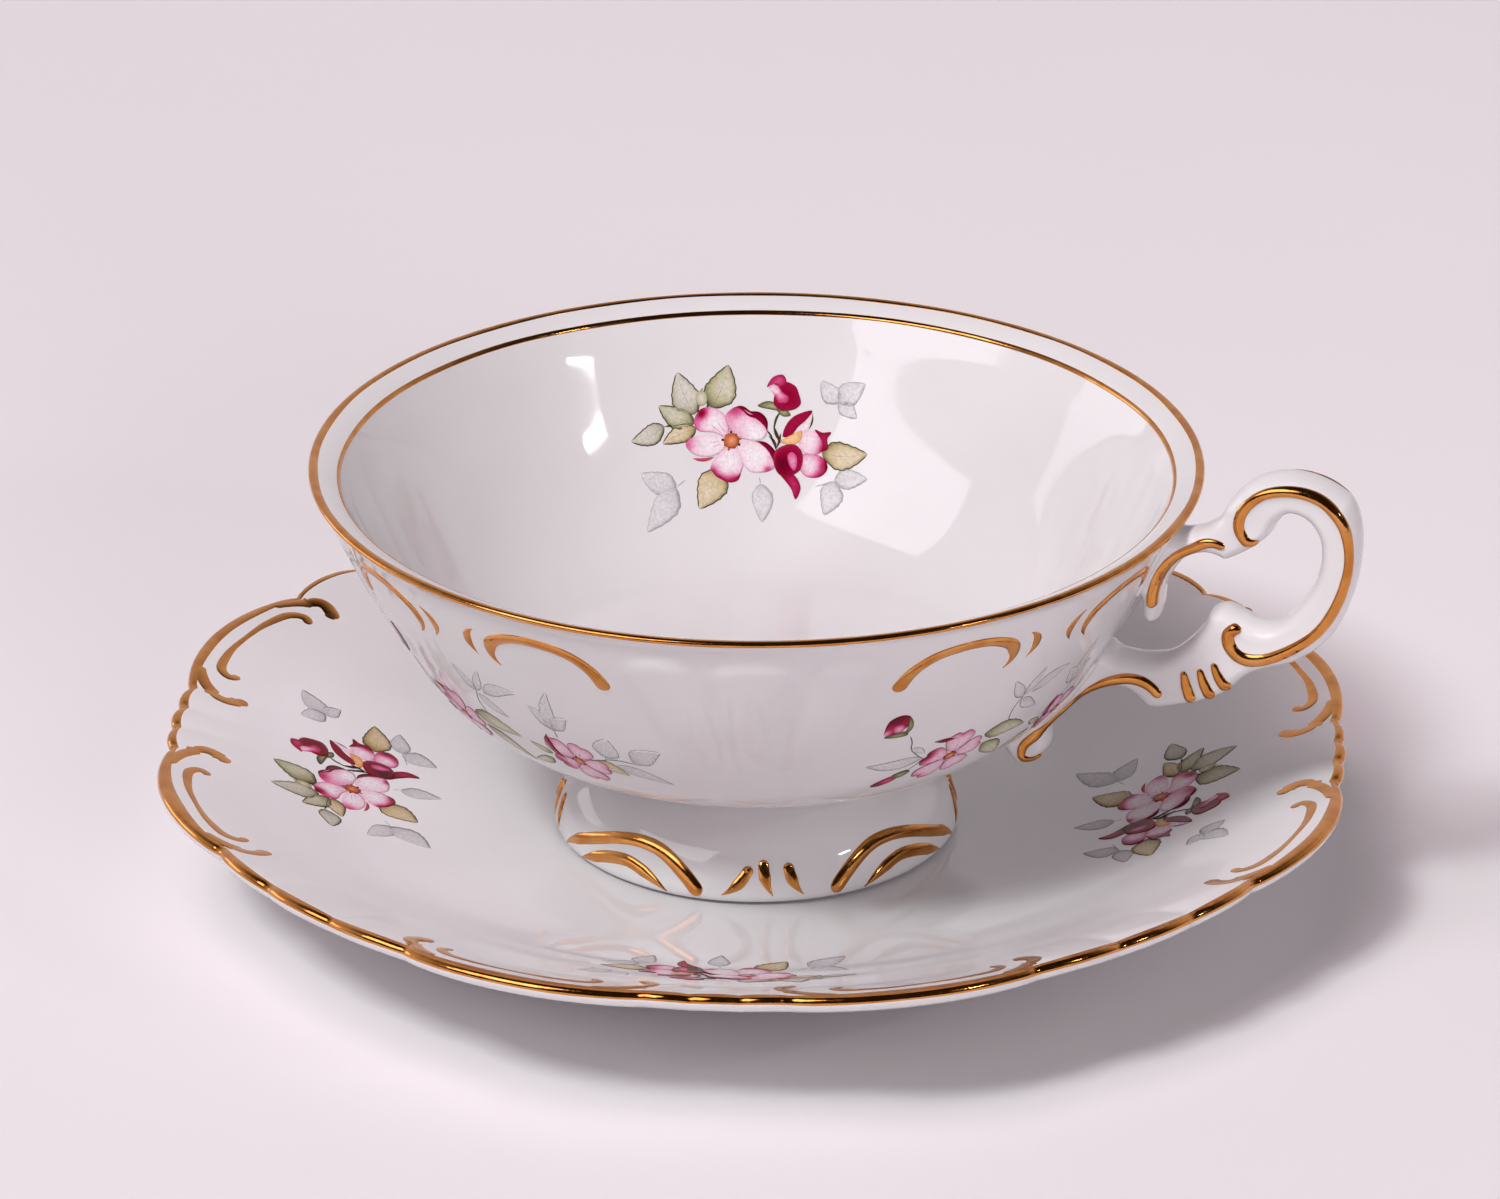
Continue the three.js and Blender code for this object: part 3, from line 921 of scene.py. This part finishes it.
# ---------------------------------------------------------------- printed flowers

def linear(r, g, b):
    """Linear colour from 0-255 screen values."""
    return tuple((v / 255 / 12.92 if v <= 10 else ((v / 255 + 0.055) / 1.055) ** 2.4)
                 for v in (r, g, b))


PALETTES = {
    "petal": [(0, (244, 236, 240)), (0.3, (238, 192, 212)), (0.55, (214, 100, 148)),
              (0.75, (184, 36, 92)), (0.9, (146, 6, 48)), (1, (104, 4, 34))],
    "grey_leaf": [(0, (222, 217, 210)), (0.5, (202, 196, 178)), (1, (128, 124, 88))],
    "olive_leaf": [(0, (220, 216, 200)), (0.45, (186, 181, 144)), (1, (84, 86, 42))],
    "ochre_leaf": [(0, (228, 214, 190)), (0.5, (208, 188, 146)), (1, (124, 112, 60))],
    "ghost_leaf": [(0, (227, 223, 225)), (0.6, (213, 211, 213)), (1, (188, 188, 191))],
    "stamen": [(0, (236, 180, 150)), (0.5, (206, 110, 62)), (1, (138, 54, 26))],
    "throat": [(0, (244, 214, 170)), (1, (226, 160, 92))],
}
OLIVE_INK = linear(62, 70, 30)
GREY_INK = linear(98, 94, 94)
GHOST_INK = linear(164, 167, 173)
CRIMSON_INK = linear(128, 4, 44)
BROWN_INK = linear(70, 50, 26)
AMBER_INK = linear(190, 92, 40)
PRINT_DEPTH = 0.88           # how much the printed colours are darkened to sit on the glaze
SAUCER_PAINTED_SHADE_POWER = 1.4     # painted shade: the saucer's copies of the print are darker and deeper than the cup's
INK_RISE = 0.012             # inked lines over the colour they edge


def shade(palette, value):
    """Colour of a palette at a value, which is kept between 0 and 1."""
    stops = [stop for stop, _ in PALETTES[palette]]
    colours = PRINT_DEPTH * np.array([linear(*colour) for _, colour in PALETTES[palette]])
    value = np.clip(value, 0, 1)
    return np.stack([np.interp(value, stops, colours[:, k]) for k in range(3)], axis=-1)


class Print(Build):
    """One print: coloured shapes and inked lines on a patch of skin."""

    def __init__(self, patch):
        super().__init__()
        self.patch = patch

    def stroke(self, path, widths, lift, colour, ends=POINTED, spacing=0.3):
        ribbon(self, self.patch, path, widths, 0.02, lift, ends, colour, columns=3, spacing=spacing)

    def ink(self, path, colour, width=0.2, lift=0.07, ends=POINTED):
        self.stroke(path, [width, width], lift, colour, ends, spacing=0.35)

    def petal(self, outline, hub, inner, outer, spots=(), lift=0.06, power=1.5, palette="petal"):
        """Shape coloured from its hub to its edge, with spots of (x, y, size, darker)."""
        def colour(x, y, share):
            value = inner + (outer - inner) * share ** power
            for sx, sy, size, darker in spots:
                value = value + darker * np.exp(-((x - sx) ** 2 + (y - sy) ** 2) / size ** 2)
            return shade(palette, value)
        plate(self, self.patch, outline, hub, lift, colour)

    def sepal(self, outline, inner, outer, lift, hub=None):
        hub = hub or tuple(np.mean(outline, axis=0))
        self.petal(outline, hub, inner, outer, lift=lift, power=1, palette="olive_leaf")

    def leaf(self, base, tip, width, palette, ink_colour, lift, lean, veins=3, line=0.27):
        """Pointed leaf with a midrib, side veins and a fine outline; lean bends its midrib."""
        base, tip = np.array(base, float), np.array(tip, float)
        along = tip - base
        length = np.linalg.norm(along)
        side = np.array([-along[1], along[0]]) / length
        widest = 0.36

        def spot(t, across):
            bend = lean * length * 4 * t * (1 - t)
            half = width / 2 * (np.sin(math.pi / 2 * t / widest) ** 0.8 if t < widest
                                else 1 - ((t - widest) / (1 - widest)) ** 1.6)
            return base + along * t + side * (bend + across * half)

        stops = np.linspace(0, 1, 13)
        teeth = [1 + 0.1 * (i % 2) for i in range(len(stops))]
        left, right = ([spot(t, hand * tooth) for t, tooth in zip(stops, teeth)] for hand in (1, -1))
        middle = spot(0.45, 0)

        def colour(x, y, share):
            from_rib = ((x - middle[0]) * side[0] + (y - middle[1]) * side[1]) / (width / 2)
            value = 0.05 + 0.4 * share ** 3 + 0.3 * np.clip(from_rib, 0, 1)
            from_base = (x - base[0]) ** 2 + (y - base[1]) ** 2
            return shade(palette, value + 0.45 * np.exp(-from_base / (0.35 * length) ** 2))

        outline = left + right[-2:0:-1]
        plate(self, self.patch, outline, middle, lift, colour, rings=4, steps=4)
        for edge in (left, right, [spot(t, 0) for t in (0, 0.35, 0.7, 0.95)]):
            self.ink(edge, ink_colour, line, lift + INK_RISE)
        for k in range(veins):
            start = 0.22 + 0.2 * k
            for across in (0.62, -0.62):
                vein = [spot(start, 0), spot(start + 0.1, across * 0.5), spot(start + 0.17, across)]
                self.ink(vein, ink_colour, line * 0.8, lift + INK_RISE)

    def stamens(self, centre, size, lift):
        """A ring of small brown dabs round a pale middle."""
        def spot(reach, degrees):
            angle = math.radians(degrees)
            return centre[0] + reach * math.cos(angle), centre[1] + reach * math.sin(angle)

        eye = [spot(size, degrees) for degrees in range(0, 360, 45)]
        plate(self, self.patch, eye, centre, lift, lambda x, y, s: shade("stamen", 0.1 + 0.65 * s),
              rings=3, steps=3)
        for k in range(9):
            reach = size * (0.75 if k % 2 else 0.95)
            dab = [spot(reach + extra, 40 * k + 12) for extra in (0, 0.35)]
            self.ink(dab, BROWN_INK if k % 3 else AMBER_INK, 0.32, lift + INK_RISE, ROUND)

    def dog_rose(self, centre, reach, turn):
        """Five notched petals round a small brown eye."""
        cx, cy = centre
        shape = [(0.18, 0), (0.45, 0.3), (0.85, 0.42), (1.05, 0.16), (0.96, 0), (1.04, -0.18),
                 (0.82, -0.42), (0.42, -0.3)]
        for k in range(5):
            angle = math.radians(turn + 72 * k)
            stretch = reach * (1.08 if k % 2 else 0.95)
            c, s = math.cos(angle) * stretch, math.sin(angle) * stretch
            outline = [(cx + a * c - b * s, cy + a * s + b * c) for a, b in shape]
            blush = 0.72 if k == 2 else 0.12 + 0.08 * (k % 2)
            lift = 0.06 + 0.004 * k
            self.petal(outline, (cx + 0.6 * c, cy + 0.6 * s), 0.1, 0.42,
                       [(cx + c, cy + s, 1.5, blush)], lift, 2)
            self.ink([*outline, outline[0]], GREY_INK, 0.11, lift + INK_RISE)
            self.ink([(cx + share * c, cy + share * s) for share in (0.25, 0.7)],
                     linear(206, 120, 164), 0.12, 0.09)
        self.stamens(centre, 0.7, 0.09)


# The spray with a pink dog-rose, a crimson rose and a bud, in millimetres across its patch.
# Leaves: base, tip, width, then palette and lean. Petals: outline, hub, colour at the hub and
# at the edge, then spots, lift, power and palette where they differ from the usual.
PALE_LEAVES = [
    ((11.4, 5.9), (15, 8.7), 2.7), ((11.4, 5.9), (9.2, 8.6), 2.4), ((11.4, 5.9), (13.8, 4.2), 2),
    ((-9.6, -4.9), (-14.3, -2.5), 2.7), ((-9.6, -4.9), (-13.5, -10.2), 3.4),
    ((1.3, -4.9), (1.4, -10), 2.5), ((10.8, -4.1), (15.2, -3.3), 2.4),
    ((10.8, -4.1), (9.4, -8.6), 2.8)]
PALE_STEMS = [[(-9.6, -4.9), (-8.3, -3.9)], [(-9.6, -4.9), (-9.2, -6.6)],
              [(1.3, -4.9), (1.1, -3.9)], [(10.8, -4.1), (8.2, -5)]]
LEAVES = [
    ((-7.1, 4.3), (-9.3, 9.8), 3.3, "grey_leaf", 0.05),
    ((-4.9, 5), (-2.7, 10.4), 3.8, "olive_leaf", -0.05),
    ((-7.2, 3.1), (-11.8, 5.8), 2.5, "olive_leaf", 0.06),
    ((-6.9, 2.4), (-11.3, 0.9), 2.2, "ochre_leaf", -0.05),
    ((-11.1, 3.1), (-15.5, 1.7), 2.4, "grey_leaf", 0.08),
    ((9.2, -0.7), (15.2, -0.1), 3.3, "ochre_leaf", -0.06),
    ((-4.1, -2.9), (-6.6, -7.9), 3.7, "ochre_leaf", 0.05)]
STEMS = [[(-6, 7.6), (-6.6, 6.2), (-6.6, 4.6), (-5.6, 3.6)], [(-7.3, 3.2), (-8.6, 3.1), (-11.1, 3.1)],
         [(-5.2, 6.4), (-5.4, 5.2), (-5.9, 4.2)], [(4, 4.4), (3.4, 3.6), (3.1, 2.2)],
         [(8, 4.4), (7.9, 3.2), (7.5, 2.3)]]
CRIMSON_ROSE = [
    ([(6, 1.6), (7, 3.2), (8, 4.3), (7.7, 2.8), (7.2, 1.9)], (7, 2.5), 0.05, 0.2, (), 0.05),
    ([(4.2, 1.2), (4.6, 2.7), (5.8, 4), (8, 4.7), (7.3, 3.6), (6.2, 2.6), (5.2, 1.4)],
     (5.4, 2.7), 0.85, 0.88),
    ([(6.4, 1.9), (8.2, 2.1), (9.7, 1.6), (9.7, 0.1), (8.3, -0.9), (6.6, -0.5)],
     (7.9, 0.7), 0.02, 0.28, [(9.7, 1.2, 1, 0.5), (9.6, -0.4, 1.1, 0.6)]),
    ([(8.3, 2.3), (9.3, 2), (10.4, 2.1), (9.9, 1.2), (10, 0), (9.2, -0.4), (9.3, 0.7)],
     (9.6, 1.1), 0.8, 0.92, (), 0.07),
    ([(3.9, 0.6), (5.3, 1.5), (6.6, 2.1), (6.5, 0.9), (5.2, 0.2)],
     (5.4, 1), 0.2, 0.9, (), 0.075, 1.5, "throat"),
    ([(6.5, -1.1), (8, -0.8), (9.6, -1.4), (9.9, -2.6), (8.9, -3.7), (7.2, -3.8), (6.4, -3)],
     (7.8, -2.4), 0.05, 0.5, [(9.6, -2.2, 1.1, 0.5), (8.8, -3.6, 0.9, 0.3)]),
    ([(3.1, -0.8), (4.6, 0.2), (5.9, 0.2), (6.7, -0.9), (6.5, -2.7), (5.7, -3.5), (3.9, -3.8),
      (3.1, -2.7)], (4.7, -1.7), 0.92, 0.84, [(4, -2.6, 1.2, 0.12)], 0.08),
    ([(4.8, -1.1), (5.3, -0.7), (5.9, -1.2), (5.9, -2.6), (5.6, -3.1), (5, -2.4)],
     (5.4, -1.9), 0.42, 0.62, (), 0.1),
    ([(3.7, -3.5), (5.4, -3.5), (6.4, -5.2), (5.7, -6.8), (5.2, -5.5), (4.4, -4.4)],
     (5.4, -4.7), 0.72, 0.88, [(4.4, -3.8, 0.8, 0.1)], 0.08)]
PINK_ROSE_HUB = (-2.4, 0.7)
PINK_ROSE = [
    ([(-3, 1.2), (-4.6, 1.8), (-6.7, 2.2), (-7.2, 3.4), (-6.3, 4.9), (-4.7, 5), (-3.3, 4.1),
      (-2.7, 2.6)], (-4.6, 3), 0, 0.38, [(-6.1, 4.3, 0.85, 0.75), (-6.9, 2.8, 1.1, 0.25)], 0.055, 2.5),
    ([(-3, 1), (-5, 1.5), (-7.5, 1.3), (-8.3, 0.6), (-7.3, -0.8), (-4.9, -1.2), (-3.2, -0.2)],
     (-5.2, 0.3), 0, 0.2, [(-8, 0.6, 1.3, 0.4)], 0.06, 2.5),
    ([(-2.9, -0.1), (-4.3, -1.3), (-5.1, -2.8), (-3.9, -3.9), (-2.5, -4.4), (-1.5, -3.8),
      (-0.9, -2.4), (-1.5, -0.3)], (-2.8, -2), 0, 0.3,
     [(-4.7, -3.1, 0.8, 0.5), (-2.2, -4.4, 1, 0.55), (-3.6, -4, 0.7, 0.3)], 0.065, 3),
    ([(-1.5, 0.2), (0.2, 0.6), (1.6, 0.1), (2.8, -1.1), (3.1, -2.7), (1.9, -3.4), (-0.1, -3.3),
      (-1.1, -1.9)], (0.8, -1.4), 0, 0.22, [(2.2, -3, 0.6, 0.55), (3, -1.6, 0.8, 0.3)], 0.07, 3),
    ([(-2, 1.4), (-3, 2.9), (-3.1, 4), (-2, 4.9), (-0.5, 4.5), (1.2, 3.2), (2.2, 1.7), (1.5, 0.8),
      (-0.6, 0.8)], (-0.4, 2.5), 0.18, 0.42, [(-1.8, 4.6, 1.1, 0.3), (0.9, 1.2, 1.4, -0.4)], 0.075)]
PINK_ROSE_FOLDS = [          # path, widths, lift, colour and ends of the petals' turned-over edges
    ([(-2.3, 4.8), (-1.1, 4.7), (-0.1, 3.9), (0.9, 3.6), (1.7, 2.9), (2.1, 1.6)],
     [0.4, 0.9, 1.1, 1.6, 1.4, 0.7], 0.09, CRIMSON_INK),
    ([(-7.4, -1.3), (-6, -1.6), (-4.6, -1.3)], [0.3, 0.45, 0.3], 0.08, linear(196, 70, 104)),
    ([(-5.1, -2.9), (-4, -3.7), (-2.7, -4.4), (-1.7, -4), (-1.2, -3.1)],
     [0.4, 0.7, 0.5, 0.75, 0.5], 0.08, linear(176, 26, 74)),
    ([(0.4, 0.5), (1.8, 0), (2.8, -1.2), (3.3, -2.6)], [0.5, 1, 1.3, 1.2], 0.085, CRIMSON_INK,
     ("point", "round"))]
PINK_ROSE_VEINS = [(-5.7, 3.4), (-6.2, 0.5), (-3.4, -2.8), (-1.9, -2.8), (0.9, -1.9), (1.6, -1),
                   (-0.6, 3.3), (0.3, 2.4), (-4.6, 3.8), (-5.6, -0.2)]
CALYX = [([(3, 2.6), (3.4, 1.4), (3.9, 0.4)], 0.5), ([(2.4, 1.2), (3, 0.6), (3.3, -0.6)], 0.5),
         ([(2.1, 2), (2.6, 1.4), (2.9, 0.8)], 0.3), ([(3.9, 1.6), (3.7, 0.6), (3.4, -0.2)], 0.4)]
BUD_SEPALS = [[(1, 5.1), (2.1, 5.7), (3.3, 5.5), (4.4, 4.5), (3, 4.6)],
              [(3.4, 5), (4.8, 4.6), (5.2, 4), (4.3, 3.8), (3.6, 4.3)]]
BUD = [
    ([(4.4, 8.2), (5.8, 7.8), (6.3, 6.8), (6.5, 5.5), (5.5, 4.7), (4, 4.6), (3.1, 5.3),
      (3.3, 6.9)], (5, 6.4), 0.9, 0.86, (), 0.07),
    ([(2.2, 7.5), (3, 8.8), (4.3, 9.1), (4.7, 8.2), (3.9, 7.6), (3, 7.9)],
     (3.7, 8.3), 0.62, 0.82, (), 0.08),
    ([(2.5, 7.6), (3.4, 7.8), (4.2, 6.9), (5, 6.3), (4.8, 5.6), (3.7, 5.5), (3.2, 6.4)],
     (3.9, 6.5), 0.45, 0.76, [(2.9, 7.4, 0.9, -0.45)], 0.09)]


def rose_spray(patch, far=0.0):
    """Print of that spray. far moves the pale leaves at its upper right outwards."""
    sheet = Print(patch)
    for base, tip, width in PALE_LEAVES:
        outwards = (far if base[1] > 0 else 0, 0)
        base, tip = np.add(base, outwards), np.add(tip, outwards)
        sheet.leaf(base, tip, width, "ghost_leaf", GHOST_INK, 0.02, 0.04, 2, 0.17)
    for path in PALE_STEMS:
        sheet.ink(path, GHOST_INK, 0.16, 0.03)
    for base, tip, width, palette, lean in LEAVES:
        sheet.leaf(base, tip, width, palette, OLIVE_INK, 0.035, lean)
    sheet.sepal([(-6.2, 7.3), (-5.5, 6.6), (-5.6, 5.6), (-6.3, 5.3), (-6.9, 6), (-6.8, 6.9)],
                0, 0.5, 0.05, (-6.2, 6.3))
    for path in STEMS:
        sheet.ink(path, OLIVE_INK, 0.3, 0.05)
    for shape in CRIMSON_ROSE + PINK_ROSE:
        sheet.petal(*shape)
    for fold in PINK_ROSE_FOLDS:
        sheet.stroke(*fold)
    hub = np.array(PINK_ROSE_HUB)
    for tip in PINK_ROSE_VEINS:
        vein = [hub + share * (tip - hub) for share in (0.35, 0.8)]
        sheet.ink(vein, linear(226, 160, 190), 0.12, 0.085)
    sheet.stamens(PINK_ROSE_HUB, 1.0, 0.09)
    for path, width in CALYX:
        sheet.ink(path, BROWN_INK, width, 0.1)
    for outline in BUD_SEPALS:
        sheet.sepal(outline, 0.5, 1, 0.05)
    for shape in BUD:
        sheet.petal(*shape)
    return sheet


# The finer, outlined spray round the bowl's outside, written in the same way
PENCIL_LEAVES = [
    ((-12.2, 1.6), (-19.7, 1.8), 2.2, 0.08), ((16.4, 0.9), (22.3, -2.1), 2, 0.06),
    ((-0.7, 8.6), (-3.3, 12.4), 1.5, 0), ((-0.4, 8.8), (1.6, 13), 1.3, 0),
    ((0.8, 8.9), (7, 11.1), 1.9, 0.08), ((-0.5, 8.3), (3.4, 5.4), 1.6, -0.05),
    ((10.3, 5.6), (12.2, 13.2), 1.9, 0.06), ((10.2, 6), (8, 9.6), 2.2, -0.1),
    ((10.6, 6), (13.3, 8.9), 1.9, 0.08), ((19.4, 2.1), (24, 5.3), 2.7, 0.08),
    ((15.8, 2.4), (17.7, 6.6), 3, 0), ((-14.9, 4.2), (-12.4, 2.6), 0.9, 0.05)]
PENCIL_STEMS = [
    [(-16.2, 7), (-15.4, 5.6), (-14.9, 4.2), (-12.1, 1.4), (-10.5, 0.6)],
    [(0.1, 2.8), (-1, 5), (-1.2, 6.8), (-0.4, 8.8)], [(15, 1.6), (17, 2.2), (19.4, 2)],
    [(-12.1, 1.2), (-12.5, 0.2), (-13, -0.9)], [(10.2, 4.4), (10.3, 5.6)],
    [(15.6, 1.9), (15.8, 2.4)]]
GREEN_LEAVES = [
    ((-4, 3.2), (3.4, 1.8), 2.9, "olive_leaf"), ((-3.2, 1), (2, -4.2), 2.5, "olive_leaf"),
    ((13.8, 1.2), (17.2, -1.2), 2.2, "ochre_leaf"), ((6.6, -1.2), (2.4, -3.6), 1.6, "olive_leaf"),
    ((7.4, 0.2), (4.6, 1.6), 1.2, "olive_leaf")]
TOP_BUD = [
    ([(-20.2, 9), (-20.1, 10.7), (-18.8, 11.4), (-17.5, 10.8), (-17.3, 9.3), (-18.6, 8),
      (-19.9, 8)], (-18.8, 9.7), 0.78, 0.92, [(-20, 8.1, 0.8, -0.6), (-19.2, 10.7, 1, 0.2)]),
    ([(-19.2, 9.3), (-18.4, 9.7), (-17.7, 9.1), (-17.8, 8.4), (-18.6, 8.2)],
     (-18.4, 8.9), 0.35, 0.65, (), 0.08)]
TOP_SEPALS = [[(-17.7, 10.9), (-17, 10.1), (-16.6, 8.6), (-17.1, 7.7), (-17.3, 9.2)],
              [(-19.8, 7.6), (-18.4, 8.1), (-17, 8.1), (-16.8, 7.5), (-18.2, 7.3)]]


def bowl_spray(patch):
    """Buds, two dog-roses and pencilled leaves."""
    sheet = Print(patch)
    for base, tip, width, lean in PENCIL_LEAVES:
        sheet.leaf(base, tip, width, "ghost_leaf", GREY_INK, 0.02, lean, 2, 0.13)
    for path in PENCIL_STEMS:
        sheet.ink(path, GREY_INK, 0.16, 0.04)
    for base, tip, width, palette in GREEN_LEAVES:
        sheet.leaf(base, tip, width, palette, OLIVE_INK, 0.03, 0.05, 2, 0.15)
    for shape in TOP_BUD:
        sheet.petal(*shape)
    for outline in TOP_SEPALS:
        sheet.sepal(outline, 0.6, 1, 0.09)
    sheet.petal([(-16.3, -3.9), (-15.8, -2.6), (-14.5, -1.7), (-13.6, -2.1), (-14.1, -3.4),
                 (-15.3, -4.2)], (-14.9, -3), 0.6, 0.9, [(-15.7, -3.9, 0.9, 0.3)])
    sheet.sepal([(-14.7, -1.5), (-13.3, -0.7), (-12.6, -1.2), (-13.4, -2.4), (-14.1, -2.2)],
                0.6, 1, 0.08, (-13.6, -1.6))
    sheet.dog_rose((-7.9, 0.5), 4.3, 20)
    sheet.dog_rose((11.2, 0.2), 3.9, 62)
    sheet.stroke([(8.6, 4.6), (8.2, 2.6), (8.6, 0.6), (9.6, -0.4)], [0.4, 1.3, 1.1, 0.5], 0.09,
                 CRIMSON_INK)
    sheet.stroke([(-12, 4.7), (-10.4, 4.5), (-8.7, 4.5)], [0.4, 0.8, 0.4], 0.09, CRIMSON_INK)
    return sheet


def make_sprays():
    height = bowl_inside.mark_of_height(INTERIOR_SPRAY_HEIGHT)
    inside = rose_spray(patch_on(bowl_inner, bowl_inside, INTERIOR_SPRAY, height, -1))
    inside.piece("interior_flower_spray", enamel, "cup")
    low = bowl_outside.mark_of_radius(NECK_RADIUS) + BOWL_SPRAY_CLIMB
    out = saucer_top_line.mark_of_radius(SAUCER_SPRAY_RADIUS)
    for number, quarter in enumerate(QUARTERS, 1):
        corner = BOWL_PANEL + 45 + quarter
        outside = bowl_spray(patch_on(bowl_outer, bowl_outside, corner, low, 1))
        outside.piece(f"bowl_flower_spray_{number}", enamel, "cup")
        pair = SAUCER_PAIR + quarter
        flat = patch_on(saucer_skin, saucer_top_line, pair, out, -1, flat=True)
        dish_print = rose_spray(flat, far=2.0)
        # Painted shade: this copy of the print is darkened and deepened on the saucer, unlike the same
        # print inside the cup.
        dish_print.colours = [colours ** SAUCER_PAINTED_SHADE_POWER for colours in dish_print.colours]
        dish_print.piece(f"saucer_flower_spray_{number}", enamel, "saucer")


# ---------------------------------------------------------------- table, light and camera

TARGET = Vector((0, 0, 0.036))
VIEW_AZIMUTH = 288
VIEW_ELEVATION = 24.126
VIEW_DISTANCE = 0.9834
VIEW_SHIFT = 0.00078         # the camera's aim, to the left of the target


def direction(azimuth, elevation):
    a, e = math.radians(azimuth), math.radians(elevation)
    return Vector((math.cos(a) * math.cos(e), math.sin(a) * math.cos(e), math.sin(e)))


def stand(name, data, spot, towards):
    """A lamp or camera at a spot in metres, looking back along its direction from there."""
    made = add_object(name, data)
    made.location = spot
    made.rotation_mode = "QUATERNION"
    made.rotation_quaternion = (-towards).to_track_quat("-Z", "Y")
    return made


def make_table():
    mesh = bpy.data.meshes.new("table")
    half = 3.0
    corners = [(-half, -half, 0), (half, -half, 0), (half, half, 0), (-half, half, 0)]
    mesh.from_pydata(corners, [], [(0, 1, 2, 3)])
    mesh.materials.append(table_material())
    add_object("table", mesh)


def softbox(name, azimuth, elevation, distance, width, height, power, colour=(1, 1, 1)):
    data = bpy.data.lights.new(name, "AREA")
    data.shape = "RECTANGLE"
    data.size, data.size_y = width, height
    data.energy = power
    data.color = colour
    towards = direction(azimuth, elevation)
    return stand(name, data, TARGET + distance * towards, towards)


def make_lights():
    """Lamps that only show in the glaze, one small real one, and lamps that only light it."""
    softbox("key_window", 233, 43, 2.2, 1.75, 1.35, 21).visible_diffuse = False
    softbox("left_window", 170, 8, 1.8, 1.0, 0.5, 2.4).visible_diffuse = False
    softbox("side_lamp", 343, 26.4, 1.2, 0.15, 0.036, 0.9)
    for name, azimuth, elevation, width, power, colour in (
            ("key_light", 247, 49, 0.9, 122, (0.925, 1, 0.985)),
            ("room_fill", 240, 62, 3.0, 126, (1, 0.805, 0.87)),
            ("left_fill", 172, 10, 1.0, 17, (1, 1, 1)),
            ("front_fill", 312, 17, 1.8, 74, (1, 0.92, 0.955))):
        lamp = softbox(name, azimuth, elevation, 5.0, width, width, power, colour)
        lamp.visible_glossy = False


def add_fade(tree, source, black, white):
    """Smooth step from 0 where source is at black to 1 where it is at white."""
    fade = add_node(tree, "MapRange", Value=source, From_Min=black, From_Max=white)
    fade.interpolation_type = "SMOOTHSTEP"
    return fade.outputs["Result"]


def make_world():
    """Dim studio with a pale sweep low down behind the cup."""
    world = bpy.data.worlds.new("studio")
    bpy.context.scene.world = world
    world.use_nodes = True
    tree = world.node_tree
    where = add_node(tree, "TexCoord").outputs["Generated"]
    height = add_node(tree, "SeparateXYZ", Vector=where).outputs["Z"]
    facing = add_node(tree, "VectorMath", Vector=where)
    facing.operation = "DOT_PRODUCT"
    facing.inputs[1].default_value = direction(118, 0)
    both = add_node(tree, "Math")
    both.operation = "MULTIPLY"
    tree.links.new(add_fade(tree, facing.outputs["Value"], -0.3, 0.45), both.inputs[0])
    tree.links.new(add_fade(tree, height, 0.9, 0.45), both.inputs[1])
    colour = add_ramp(tree, both.outputs["Value"],
                      [(0, (0.022, 0.018, 0.02)), (1, (0.62, 0.57, 0.595))])
    set_inputs(tree, tree.nodes["Background"], Color=colour)


def make_camera():
    """Looks at the cup from above its front, with the handle to the right."""
    data = bpy.data.cameras.new("camera")
    data.sensor_width = 36
    data.lens = 192
    data.clip_start, data.clip_end = 0.05, 20
    towards = direction(VIEW_AZIMUTH, VIEW_ELEVATION)
    aim = TARGET - VIEW_SHIFT * direction(VIEW_AZIMUTH + 90, 0)
    bpy.context.scene.camera = stand("camera", data, aim + VIEW_DISTANCE * towards, towards)


make_saucer()
make_saucer_edge()
make_saucer_gold()
make_bowl()
make_foot()
make_neck()
make_lip_gold()
make_inner_line()
make_bowl_gold()
make_foot_gold()
make_handle()
make_seam("handle_upper_slip_seam", "handle_upper_joint", 41.5, 53.0)
make_seam("handle_lower_slip_seam", "handle_lower_joint", 23.0, 35.0)
make_handle_gold()
make_sprays()
make_table()
make_lights()
make_world()
make_camera()
bpy.context.scene.view_settings.view_transform = "Standard"

bpy.context.view_layer.update()
